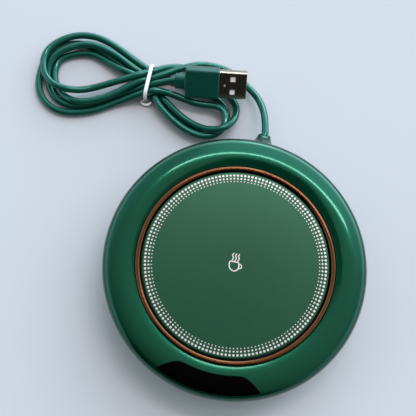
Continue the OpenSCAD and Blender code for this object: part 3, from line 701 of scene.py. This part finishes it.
def row_at(s):
    """The grid's first row at or past distance s."""
    return int(np.searchsorted(OUT.stations, s))


# Where the body's grid is left open: round the window, and round the boss down to the joint.
FIELD_R, FIELD_Z, BOSS_TOP_Z, BOSS_HALF_COLS = 41.9, 21.8, 22.4, 12
WINDOW_COLS = (-24, 19)
WINDOW_ROWS = (row_at(OUT.s_of_r(FIELD_R)), row_at(OUT.s_of_z(FIELD_Z)))
WINDOW_COUNTS = (WINDOW_COLS[1] - WINDOW_COLS[0], WINDOW_ROWS[1] - WINDOW_ROWS[0]) * 2
EXIT_THETA = math.pi - math.radians(EXIT_TURN)
EXIT_COL = int(round(EXIT_THETA / STEP))
BOSS_COLS = (EXIT_COL - BOSS_HALF_COLS, EXIT_COL + BOSS_HALF_COLS)
BOSS_ROWS = (row_at(OUT.s_of_z(BOSS_TOP_Z)), len(OUT.stations) - 1)


def perimeter(ids, rows, cols):
    """The grid's points round a rectangle, from the first row's left end, and their (s, theta)."""
    loop = [(rows[0], j) for j in range(cols[0], cols[1])]
    loop += [(i, cols[1]) for i in range(rows[0], rows[1])]
    loop += [(rows[1], j) for j in range(cols[1], cols[0], -1)]
    loop += [(i, cols[0]) for i in range(rows[1], rows[0], -1)]
    where = np.array([(OUT.stations[i], j * STEP) for i, j in loop])
    return [ids[i][j % COLUMNS] for i, j in loop], where


def about_exit(verts):
    """Turns points made about Z to lie about the cord exit's axis, heights being along it."""
    up = np.array([0, 0, 1.0])
    return verts[:, :1] * EXIT_SIDE + verts[:, 1:2] * up + verts[:, 2:] * EXIT_DIR + [0, 0, EXIT_Z]


def build_shell():
    skin = Skin()
    theta = np.arange(COLUMNS) * STEP
    outer = [skin.add(*OUT.point(s, theta)) for s in OUT.stations]
    left_open = {
        (i, j % COLUMNS)
        for rows, cols in ((WINDOW_ROWS, WINDOW_COLS), (BOSS_ROWS, BOSS_COLS))
        for i in range(*rows) for j in range(*cols)
    }
    for i, (a, b) in enumerate(zip(outer, outer[1:])):
        for j in range(COLUMNS):
            if (i, j) not in left_open:
                k = (j + 1) % COLUMNS
                skin.face([a[j], a[k], b[k], b[j]], exact=True)

    def draw_in(loop, where, target, shares):
        """Loops on the body that lead from the open grid's edge to a line of (s, theta)."""
        for t in shares:
            mid = where + (target - where) * t
            loop = skin.draw(loop, *OUT.point(*mid.T), exact=True)
        return loop

    # Window pocket: loops drawn in from the grid to the lens, then a wall and a floor.
    loop, where = perimeter(outer, WINDOW_ROWS, WINDOW_COLS)
    plan = window_loop(WINDOW_COUNTS)
    gap, bevel, deep = 0.10, 0.10, 1.3
    target = plan_to_body(offset_loop(plan, gap + bevel))
    loop = draw_in(loop, where, target, (0.3, 0.55, 0.75, 0.9, 1.0))
    for out_by, down in ((gap + 0.3 * bevel, 0.3 * bevel), (gap, bevel), (gap, 0.6), (gap, deep)):
        loop = skin.draw(loop, OUT.point(*plan_to_body(offset_loop(plan, out_by)).T, down)[0])
    fill(skin, loop, offset_loop(plan, gap), WINDOW_COUNTS, deep)

    # Cord boss: loops drawn in to the boss's foot, its bell, its rounded tip and its bore.
    loop, where = perimeter(outer, BOSS_ROWS, BOSS_COLS)
    spread = where - [OUT.s_of_z(EXIT_Z), EXIT_THETA]
    low, high = spread[:, 0].max(), -spread[:, 0].min()
    u = spread[:, 1] / np.abs(spread[:, 1]).max()
    v = np.where(spread[:, 0] > 0, -spread[:, 0] / low, -spread[:, 0] / high)
    phi = np.arctan2(v, -u)
    reach_up, reach_down, reach_side = 9.2, 5.8, 6.6
    side = reach_side * np.cos(phi)
    rise = np.where(np.sin(phi) > 0, reach_up, reach_down) * np.sin(phi)

    def on_body(x, z):
        """(s, theta) of the body's point at a sideways distance x and height z from the exit."""
        s = OUT.s_of_z(EXIT_Z + z)
        r = OUT.at(s)[:, 0]
        return np.stack([s, EXIT_THETA - np.arcsin(np.clip(x / r, -1, 1))], 1)

    def circle(radius, along):
        flat = [radius * np.cos(phi), radius * np.sin(phi), np.full(len(phi), along)]
        return about_exit(np.stack(flat, 1))

    foot = on_body(side, rise)
    loop = draw_in(loop, where, foot, (0.3, 0.6, 0.85, 1.0))
    foot_p = OUT.point(*foot.T)[0]
    inward = OUT.point(*on_body(side * 0.96, rise * 0.96).T)[0] - foot_p
    inward /= np.linalg.norm(inward, axis=1)[:, None]
    tip_r, lip, bore_r, bore_deep = 3.0, 0.5, 2.3, 7
    bell = (foot_p, foot_p + inward * 1.7, circle(4.1, BOSS_R - 2.9), circle(tip_r, BOSS_R - lip))
    for t in np.linspace(0, 1, 15)[1:]:
        shares = ((1 - t) ** 3, 3 * t * (1 - t) ** 2, 3 * t**2 * (1 - t), t**3)
        loop = skin.draw(loop, sum(share * points for share, points in zip(shares, bell)))
    tip = arc_points(tip_r - lip, BOSS_R - lip, lip, 90 - math.degrees(0.2), 0, 7)
    tip += [(2.48, BOSS_R - 0.02), (2.38, BOSS_R - 0.07)]
    tip += [(bore_r, BOSS_R - down) for down in (0.2, 3, bore_deep)]
    for radius, along in tip:
        loop = skin.draw(loop, circle(radius, along))
    hub = skin.add(circle(0, BOSS_R - bore_deep)[:1])[0]
    for k in range(len(loop)):
        skin.face([loop[k], loop[(k + 1) % len(loop)], hub])

    # Rounded lower edge, then the inner wall, the skirt, the bore and the ring's ledge.
    edge_c = arc_points(*OUT.under_c, UNDER_RAD - OUT.edge, OUT.joint_a, OUT.joint_a, 0)[0]
    rest = arc_points(*edge_c, OUT.edge, OUT.joint_a, 180, 4)[1:]
    inner = [row for row in OUT.table[::-1] if row[1] > SKIRT_R + 1.5]
    inner = [(r - WALL * nr, z - WALL * nz) for _, r, z, nr, nz in inner[::90]]
    inner = [(r, z) for r, z in inner if z > JOINT_Z + 0.2 and r > SKIRT_R + 0.5]
    rest += [(inner[0][0] - 0.4, JOINT_Z), *inner, (SKIRT_R, inner[-1][1] - 0.1)]
    bore_in = RING_IN + 0.1
    rest += [(SKIRT_R, SKIRT_Z), (bore_in, SKIRT_Z), (bore_in, SEAT_Z), (LIP_R, SEAT_Z)]
    last = outer[-1]
    for r, z in rest:
        points = np.stack([r * np.sin(theta), -r * np.cos(theta), np.full(COLUMNS, z)], 1)
        last = skin.draw(last, points)
    skin.quads(last, outer[0])
    return skin.build("shell_top")


def build_lens():
    skin = Skin()
    plan = window_loop(WINDOW_COUNTS)
    bevel, thick = 0.2, 1.2
    face = offset_loop(plan, -bevel)
    loop = skin.add(*OUT.point(*plan_to_body(face).T))
    fill(skin, loop, face, WINDOW_COUNTS, 0.0, exact=True)
    for inset, down in ((-0.06, 0.05), (0.0, 0.16), (0.0, 0.7), (0.0, thick)):
        loop = skin.draw(loop, OUT.point(*plan_to_body(offset_loop(plan, inset)).T, down)[0])
    fill(skin, loop, plan, WINDOW_COUNTS, thick)
    return skin.build("window_lens")


finish_piece(build_shell(), "shell_green", replaces=["upper_shell"])
finish_piece(build_lens(), "window_black", replaces=["display_window"])


# ---- ring, plate and its print

ring_mid, ring_rad = RING_IN + RING_W / 2, RING_W / 2
ring_profile = [
    (RING_IN + 0.15, SEAT_Z), (RING_IN, SEAT_Z + 0.15),
    *arc_points(ring_mid, RING_TOP - ring_rad, ring_rad, -90, 90, 22),
    (RING_IN + RING_W, SEAT_Z + 0.15), (RING_IN + RING_W - 0.15, SEAT_Z),
]
ring = make_mesh("ring", *revolve(ring_profile, COLUMNS))
finish_piece(ring, "copper", replaces=["copper_ring"])

PLATE_LOW = PLATE_TOP - PLATE_T
plate_profile = [
    *((r, PLATE_LOW) for r in (0, 12, 30, PLATE_R - 0.2)),
    (PLATE_R, PLATE_LOW + 0.2), (PLATE_R, PLATE_TOP - 0.6),
    *arc_points(PLATE_R - 0.4, PLATE_TOP - 0.4, 0.4, 90, 0, 6),
    *((r, PLATE_TOP) for r in (PLATE_R - 0.8, 33, 24, 12, 4, 0)),
]
plate = make_mesh("plate", *revolve(plate_profile, COLUMNS))
finish_piece(plate, "plate_green", body="plate", replaces=["heating_plate"])


PRINT_LOW, PRINT_HIGH = PLATE_TOP - 0.02, PLATE_TOP + 0.02


def strip(points, width, high=PRINT_HIGH, closed=False, step=0.12):
    """Printed line, closed or with rounded ends."""
    pts = [(x, y, 0) for x, y in points]
    if closed:
        pts = [pts[-2], *pts, pts[0], pts[1], pts[2]]
    flat = catmull(pts, step)[:, :2]
    if closed:
        away = np.linalg.norm(flat - np.array(points[0]), axis=1)
        half = len(flat) // 2
        flat = flat[int(np.argmin(away[: len(flat) // 3])) : half + int(np.argmin(away[half:]))]
    tangent = loop_tangents(flat) if closed else tangents(flat)
    normal = np.stack([-tangent[:, 1], tangent[:, 0]], 1) * width / 2
    pairs = [(p + across, p - across) for p, across in zip(flat, normal)]
    if not closed:
        for k, ahead in ((0, -tangent[0]), (-1, tangent[-1])):
            for a in (30, 60, 80):
                end = flat[k] + ahead * sin_of(a) * width / 2
                pair = (end + normal[k] * cos_of(a), end - normal[k] * cos_of(a))
                pairs.insert(len(pairs) if k else 0, pair)
    sections = [
        np.array([(*left, high), (*right, high), (*right, PRINT_LOW), (*left, PRINT_LOW)])
        for left, right in pairs
    ]
    return closed_sweep(sections) if closed else sweep(sections)


DOT_ROWS, DOTS_A_ROW = ((33.0, 0.50), (34.15, 0.74), (35.5, 0.95)), 150
dots = []
for radius, dot in DOT_ROWS:
    for k in range(DOTS_A_ROW):
        a = 2 * math.pi * (k + 0.5) / DOTS_A_ROW
        cx, cy = radius * math.sin(a), -radius * math.cos(a)
        loop = [(cx + dot / 2 * math.cos(b), cy + dot / 2 * math.sin(b)) for b in round_angles(14)]
        dots.append(sweep([[(*point, z) for point in loop] for z in (PRINT_HIGH, PRINT_LOW)]))
dots_obj = make_mesh("plate_dots", *merged(dots))
finish_piece(dots_obj, "part_white", body="plate", kind="print_silver")

CUP = [
    (-2.34, -0.06), (-1.06, 0.18), (0, 0.18), (0.93, 0.15), (1.34, -0.57), (1.43, -1.62),
    (1.14, -2.6), (0.33, -3.28), (-0.57, -3.38), (-1.56, -2.97), (-2.23, -2.17), (-2.41, -1.14),
]
HANDLE = [(1.29, -0.44), (1.95, -0.45), (2.45, -1.03), (2.39, -1.83), (1.58, -2.12)]
STEAM = [(-1.38, 3.42), (-1.72, 2.6), (-1.24, 1.8), (-1.58, 0.72)]
CUP_LINE, THIN_LINE, STEAM_STEP = 0.46, 0.42, (1.15, -0.02)
cup_parts = [strip(CUP, CUP_LINE, closed=True), strip(HANDLE, THIN_LINE, PRINT_HIGH - 0.004)]
for k in range(3):
    wisp = [(x + STEAM_STEP[0] * k, y + STEAM_STEP[1] * k) for x, y in STEAM]
    cup_parts.append(strip(wisp, THIN_LINE))
cup = make_mesh("plate_pictogram", *merged(cup_parts))
finish_piece(cup, "part_white", body="plate", kind="print_silver")


# ---- cord pieces

SLEEVE_IN, SLEEVE_BORE_R, SLEEVE_R = CORD_D / 2 + 0.02, 2.25, 2.8
grommet_profile = [
    (SLEEVE_IN, BOSS_R - 6), (SLEEVE_BORE_R, BOSS_R - 6), (SLEEVE_BORE_R, BOSS_R + 0.02),
    (SLEEVE_R - 0.1, BOSS_R + 0.02), (SLEEVE_R, BOSS_R + 0.12), (SLEEVE_R, EXIT_R - 0.25),
    (SLEEVE_R - 0.1, EXIT_R - 0.08), (2.5, EXIT_R), (CORD_D / 2 + 0.25, EXIT_R),
    (CORD_D / 2 + 0.08, EXIT_R - 0.08), (SLEEVE_IN, EXIT_R - 0.3),
]
grommet = make_mesh("cord_sleeve", *revolve(grommet_profile, 64, about_exit))
finish_piece(grommet, "cord_green", replaces=["cord_grommet"])


def even_shading(obj):
    """Lets the large flat faces set the shading beside their rounded edges."""
    shade = obj.modifiers.new("shade", "WEIGHTED_NORMAL")
    shade.keep_sharp = True
    shade.weight = 90
    return obj


def rounded_loop(half_y, half_z, r, steps):
    """Rounded rectangle about the origin: y, z and the outward normal's y and z at its points."""
    loop = []
    for cy, cz, a0 in ((1, 1, 0), (-1, 1, 90), (-1, -1, 180), (1, -1, 270)):
        for a in np.linspace(a0, a0 + 90, steps + 1):
            cos, sin = cos_of(a), sin_of(a)
            loop.append((cy * (half_y - r) + r * cos, cz * (half_z - r) + r * sin, cos, sin))
    return loop


def rounded_section(w, h, r, x, steps=6):
    """Rounded rectangle across the plug at distance x, w wide in y and h high in z."""
    return np.array([(x, y, z) for y, z, _, _ in rounded_loop(w / 2, h / 2, r, steps)])


def build_grip():
    """Moulded grip: a rounded neck, a step up and a block with rounded ends."""
    sections = []
    x0 = -GRIP_LEN - NECK_LEN
    for x, shrink in ((0.0, 0.7), (0.12, 0.3), (0.4, 0.0), (3.9, 0.0)):
        sections.append(rounded_section(NECK_W - shrink, NECK_T - shrink, 2.2 - shrink / 2, x0 + x))
    w, h = GRIP_W, GRIP_T
    for x, width, height, r in (
        (4.3, 6.7, 5.45, 2.2), (4.5, 7.1, 5.6, 2.2), (4.6, 8.6, 5.9, 2.0),
        (4.62, w - 2.2, h - 0.9, 1.7), (4.7, w - 0.9, h - 0.45, 1.5),
        (4.95, w - 0.3, h - 0.15, 1.35), (5.3, w, h, 1.3), (12, w, h, 1.3), (18.9, w, h, 1.3),
        (19.3, w - 0.15, h - 0.12, 1.25), (19.52, w - 0.5, h - 0.45, 1.1),
        (19.6, w - 1.0, h - 0.95, 0.9),
    ):
        sections.append(rounded_section(width, height, r, x0 + x))
    for x in (0, -USB_IN):
        sections.append(rounded_section(USB_W + 0.1, USB_T + 0.1, 0.55, x))
    verts, faces = sweep(sections)
    return even_shading(make_mesh("plug_body", at_plug(verts), faces, sharp=40))


def build_usb_shell():
    """Thin metal shell with two square latch holes each side, a small one, and a folded lead-in."""
    latch = (4.8, 7.1)
    outer = [rounded_section(USB_W, USB_T, 0.7, x, 4) for x in (-USB_IN, 0, *latch, USB_LEN - 0.25)]
    outer.append(rounded_section(USB_W - 0.16, USB_T - 0.16, 0.65, USB_LEN, 4))
    in_w, in_t = USB_W - 2 * USB_WALL, USB_T - 2 * USB_WALL
    inner = [
        rounded_section(in_w, in_t, 0.25, x, 4) for x in (USB_LEN, *latch[::-1], 0, -USB_IN + 0.8)
    ]
    verts, faces = sweep([*outer, *inner])
    me = bpy.data.meshes.new("usb_shell")
    me.from_pydata(verts.tolist(), [], faces)
    face_outwards(me)
    obj = new_object("usb_shell", me)
    # Boxes in x, y and z: two latch holes through both faces, a small one through the top.
    cutters = []
    holes = [(latch, (y - 1.15, y + 1.15), (-5, 5)) for y in (-2.9, 2.9)]
    holes.append(((2.1, 2.7), (-0.7, 0.5), (0.5, 5)))
    for box in holes:
        cut_bm = bmesh.new()
        bmesh.ops.create_cube(cut_bm, size=1)
        for v in cut_bm.verts:
            v.co = [(low + high) / 2 + c * (high - low) for c, (low, high) in zip(v.co, box)]
        upright = [e for e in cut_bm.edges if abs(e.verts[0].co.z - e.verts[1].co.z) > 1]
        bmesh.ops.bevel(cut_bm, geom=upright, offset=0.18, segments=3, affect="EDGES", profile=0.5)
        cut_me = bpy.data.meshes.new("cut")
        cut_bm.to_mesh(cut_me)
        cut_bm.free()
        cutters.append(new_object("cut", cut_me))
        mod = obj.modifiers.new("hole", "BOOLEAN")
        mod.operation = "DIFFERENCE"
        mod.solver = "EXACT"
        mod.object = cutters[-1]
    dg = bpy.context.evaluated_depsgraph_get()
    done = bpy.data.meshes.new_from_object(obj.evaluated_get(dg))
    points = [list(v.co) for v in done.vertices]
    faces = [list(p.vertices) for p in done.polygons]
    for extra in [*cutters, obj]:
        bpy.data.objects.remove(extra, do_unlink=True)
    return even_shading(make_mesh("plug_metal_shell", at_plug(points), faces, sharp=25))


plug_grip = finish_piece(build_grip(), "grip_green", replaces=["plug_grip"])
plug_shell = finish_piece(build_usb_shell(), "plug_metal", replaces=["plug_shell"])


# The wire tie's loose end, which curls on the table.
CURL = [
    (-51.6, 69.9, 1.2), (-52.9, 69.6, 1.0), (-53.7, 68.7, 0.95), (-53.2, 67.7, 0.95),
    (-51.7, 67.3, 1.0), (-50.1, 67.6, 1.3), (-49.0, 68.6, 1.9),
]


def tube(line, radius, height=None, sides=12, tapered=()):
    """Rod along a line, radius wide and height high, its ends narrowed by the tapered shares."""
    angles = round_angles(sides)[:, None]
    rings = []
    for i, (point, along) in enumerate(zip(line, tangents(line))):
        side = np.cross(along, [0, 0, 1.0] if abs(along[2]) < 0.5 else [1.0, 0, 0])
        side /= np.linalg.norm(side)
        up = np.cross(side, along)
        end = min(i, len(line) - 1 - i)
        share = tapered[end] if end < len(tapered) else 1.0
        oval = radius * np.cos(angles) * side + (height or radius) * np.sin(angles) * up
        rings.append(point + share * oval)
    return sweep(rings)


def build_tie():
    """Plastic-coated wire tie: a flat band round the waist of the hank, its end curled below it."""
    half_y, half_z, corner = 7.5, 3.45, 3.0
    half_across, half_thick, clear = 0.82, 0.38, 0.42
    section = []
    for a in round_angles(16):
        c, s = math.cos(a), math.sin(a)
        across = half_across * math.copysign(abs(c) ** 0.7, c)
        section.append((across, half_thick * math.copysign(abs(s) ** 0.9, s)))
    sections = []
    for y, z, ny, nz in rounded_loop(half_y, half_z, corner, 8):
        lean = 0.15 * y / half_y
        sections.append(np.array([
            (TIE_X + lean + across, TIE_Y + y + ny * (out + clear), TIE_Z + z + nz * (out + clear))
            for across, out in section
        ]))
    curl = tube(catmull(CURL, 0.35), 0.62, 0.58, 16, (0.35, 0.75, 0.95))
    return make_mesh("tie", *merged([closed_sweep(sections), curl]), sharp=60)


tie = finish_piece(build_tie(), "tie_white", replaces=["cord_tie"])

cord.data.materials.append(MATERIALS["cord_green"])
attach(cord, "housing")
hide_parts("cord_lead", "cord_hank", "plug_lead")


# ---- springs and leads under the plate

def flexing_piece(name, lines, radius, slot, node):
    """Rods along the lines, in the slot's material, shown in place of the node."""
    obj = make_mesh(name, *merged([tube(line, radius) for line in lines]), sharp=60)
    obj.data.materials.append(MATERIALS[slot])
    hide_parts(node)
    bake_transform(obj)


SPRING_WIRE = 0.35


def spring_line(degrees, turns=6, radius=4.2, steps=24):
    """Coil about a guide post, with a flat turn at each end."""
    start = math.radians(degrees)
    x, y = GUIDE_R * math.cos(start), GUIDE_R * math.sin(start)
    share = np.linspace(0, 1, turns * steps + 1)
    angle = 2 * math.pi * turns * share + start
    rise = np.clip((share - 0.12) / 0.76, 0, 1)
    z = COLLAR_Z + SPRING_WIRE + (CARRIER_Z - COLLAR_Z - 2 * SPRING_WIRE) * rise
    return np.stack([x + radius * np.cos(angle), y + radius * np.sin(angle), z], 1)


springs = [spring_line(degrees) for degrees in GUIDE_ANGLES]
flexing_piece("springs", springs, SPRING_WIRE, "spring_steel", "return_springs")

# Wires from their sockets on the board up to the element and the sensor.
LEAD_STEP, HEATER_X = 0.4, -12
heater_wires = []
for s in (-1, 1):
    x, top_x = HEATER_X + s, HEATER_X + 0.9 * s
    heater_wires.append(catmull([
        (x, 5, SOCKET_TOP), (x, 5.1, SOCKET_TOP + 1), (x, 5.2, SOCKET_TOP + 2),
        (top_x, 5.8, CARRIER_Z - 1.5), (top_x, 6, CARRIER_Z + 1), (top_x, 6, HEATER_Z),
    ], LEAD_STEP))
flexing_piece("heater_wires", heater_wires, 0.7, "wire_red", "heater_leads")
sensor_wires = [
    catmull([
        (11.5 + s, 3, SOCKET_TOP), (11.4 + s, 2.95, SOCKET_TOP + 1), (11 + s, 2.6, SOCKET_TOP + 2),
        (8.5 + s, 0.3, CARRIER_Z - 1.5), (8 + s, 0, CARRIER_Z), (8 + s, 0, SENSOR_Z),
    ], LEAD_STEP)
    for s in (-0.6, 0.6)
]
flexing_piece("sensor_wires", sensor_wires, 0.4, "wire_yellow", "sensor_leads")


# ---- floor, world and lamps

def stage_sheet(name, centre, half_x, half_y, colour, roughness, specular, seen=True):
    """Flat sheet of one colour. One that isn't seen shows only as its reflection."""
    x, y, z = centre
    corners = ((-1, -1), (1, -1), (1, 1), (-1, 1))
    me = bpy.data.meshes.new(name)
    me.from_pydata([(x + a * half_x, y + b * half_y, z) for a, b in corners], [], [[0, 1, 2, 3]])
    mat, bsdf = blank_material(name)
    bsdf.inputs["Base Color"].default_value = (*colour, 1)
    bsdf.inputs["Roughness"].default_value = roughness
    bsdf.inputs["Specular IOR Level"].default_value = specular
    me.materials.append(mat)
    sheet = new_object(name, me)
    sheet.visible_camera = sheet.visible_diffuse = sheet.visible_shadow = seen


# The table, and a card above the rim that darkens what the gloss reflects.
stage_sheet("floor", (0, 0, 0), 3.0, 3.0, (0.39, 0.404, 0.398), 0.9, 0.1)
stage_sheet(
    "dark_card", (0.015, 0.047, 0.175), 0.0205, 0.023, (0.002, 0.002, 0.002), 0.5, 0.0, seen=False
)


def area_lamp(name, position, size, power, colour=(1, 1, 1)):
    """Rectangular lamp that faces the middle of the table; its long side lies along X."""
    data = bpy.data.lights.new(name, "AREA")
    data.color = colour
    data.shape = "RECTANGLE"
    data.size, data.size_y = size
    data.energy = power
    new_object(name, data).matrix_world = look_at(position, (0, 0, 0), (0, 1, 0))


area_lamp("ceiling_tube", (0.2, 0.595, 1.5), (0.95, 0.08), 9.0, (1.0, 0.7, 0.8))
area_lamp("window", (0.1, 1.55, 0.42), (0.36, 0.3), 1.8)

world = bpy.data.worlds.new("world")
bpy.context.scene.world = world
world.use_nodes = True
nodes, links = world.node_tree.nodes, world.node_tree.links


def calc(operation, *values):
    node = nodes.new("ShaderNodeMath")
    node.operation = operation
    for value, socket in zip(values, node.inputs):
        if isinstance(value, (int, float)):
            socket.default_value = value
        else:
            links.new(value, socket)
    return node.outputs[0]


def step_up(value, low, high):
    node = nodes.new("ShaderNodeMapRange")
    node.interpolation_type = "SMOOTHSTEP"
    links.new(value, node.inputs["Value"])
    node.inputs["From Min"].default_value = low
    node.inputs["From Max"].default_value = high
    return node.outputs["Result"]


def compass_ramp(value, stops):
    """Levels by the compass angle, in degrees clockwise from the back of the table."""
    node = nodes.new("ShaderNodeValToRGB")
    elements = node.color_ramp.elements
    while len(elements) < len(stops):
        elements.new(0.5)
    for element, (degrees, level) in zip(elements, stops):
        element.position = 0.5 + degrees / 360
        element.color = (level, level, level, 1)
    links.new(value, node.inputs["Fac"])
    return calc("MULTIPLY", node.outputs["Color"], WALL_LEVEL)


WALL_LEVEL, CEILING_LEVEL, BOUNCE = 5.6, 1.2, 0.03
CEILING_X, CEILING_Y = (-0.05, 0.71), (-0.31, 0.675)  # middle and half size, as directions
direction = nodes.new("ShaderNodeTexCoord")
split = nodes.new("ShaderNodeSeparateXYZ")
links.new(direction.outputs["Generated"], split.inputs[0])
dir_x, dir_y, dir_z = split.outputs["X"], split.outputs["Y"], split.outputs["Z"]


def from_middle(value, middle, half_size, power=3):
    """Distance from the ceiling's middle to its edge as a share, to a power that squares it."""
    share = calc("DIVIDE", calc("ADD", value, -middle), half_size)
    return calc("POWER", calc("ABSOLUTE", share), power)


# A room with a lit ceiling, its windows behind the table and whoever takes the picture in front.
across = from_middle(dir_x, *CEILING_X)
along = from_middle(dir_y, *CEILING_Y)
reach = calc("POWER", calc("ADD", across, along), 1 / 3)
compass = calc("ADD", calc("DIVIDE", calc("ARCTAN2", dir_x, dir_y), 2 * math.pi), 0.5)
walls = compass_ramp(compass, [
    (-180, 0.006), (-150, 0.05), (-110, 0.2), (-60, 0.26), (-20, 0.3), (-8, 0.62), (5, 0.68),
    (40, 0.68), (58, 0.42), (75, 0.25), (110, 0.15), (150, 0.006), (180, 0.006),
])
low_gain = calc("SUBTRACT", 1.8, calc("MULTIPLY", step_up(dir_z, 0.3, 0.55), 0.8))
walls = calc("MULTIPLY", walls, low_gain)
lean = calc("ADD", calc("MULTIPLY", dir_x, 0.36), calc("MULTIPLY", dir_y, 0.96))
inside = calc("MULTIPLY", calc("ADD", lean, 0.84), CEILING_LEVEL)
front = step_up(calc("MULTIPLY", dir_y, -1), 0.72, 0.84)
inside = calc("MULTIPLY", inside, calc("SUBTRACT", 1, front))
outside = step_up(reach, 0.99, 1.008)
overhead = calc("ADD", calc("MULTIPLY", calc("SUBTRACT", 1, outside), inside), BOUNCE)
light_path = nodes.new("ShaderNodeLightPath")
shade = nodes.new("ShaderNodeMix")
shade.data_type = "RGBA"
links.new(light_path.outputs["Is Camera Ray"], shade.inputs[0])
total = nodes.new("ShaderNodeVectorMath")
for socket, level, colour in (
    (total.inputs[0], overhead, (0.95, 0.98, 1.0)),
    (total.inputs[1], calc("MULTIPLY", outside, walls), (0.74, 0.93, 1.12)),
):
    tinted = nodes.new("ShaderNodeVectorMath")
    tinted.operation = "SCALE"
    tinted.inputs[0].default_value = colour
    links.new(level, tinted.inputs["Scale"])
    links.new(tinted.outputs["Vector"], socket)
links.new(total.outputs["Vector"], shade.inputs[6])
shade.inputs[7].default_value = (0.62, 0.68, 0.74, 1)
links.new(shade.outputs[2], nodes["Background"].inputs["Color"])

sun = new_object("sun", bpy.data.lights.new("sun", "SUN"))
sun.data.energy = 0.45
sun.data.angle = math.radians(50)
sun.matrix_world = look_at((0.5, 0.45, 0.75), (0, 0, 0), (0, 0, 1))
sun.visible_glossy = False

bpy.context.scene.view_settings.view_transform = "Standard"
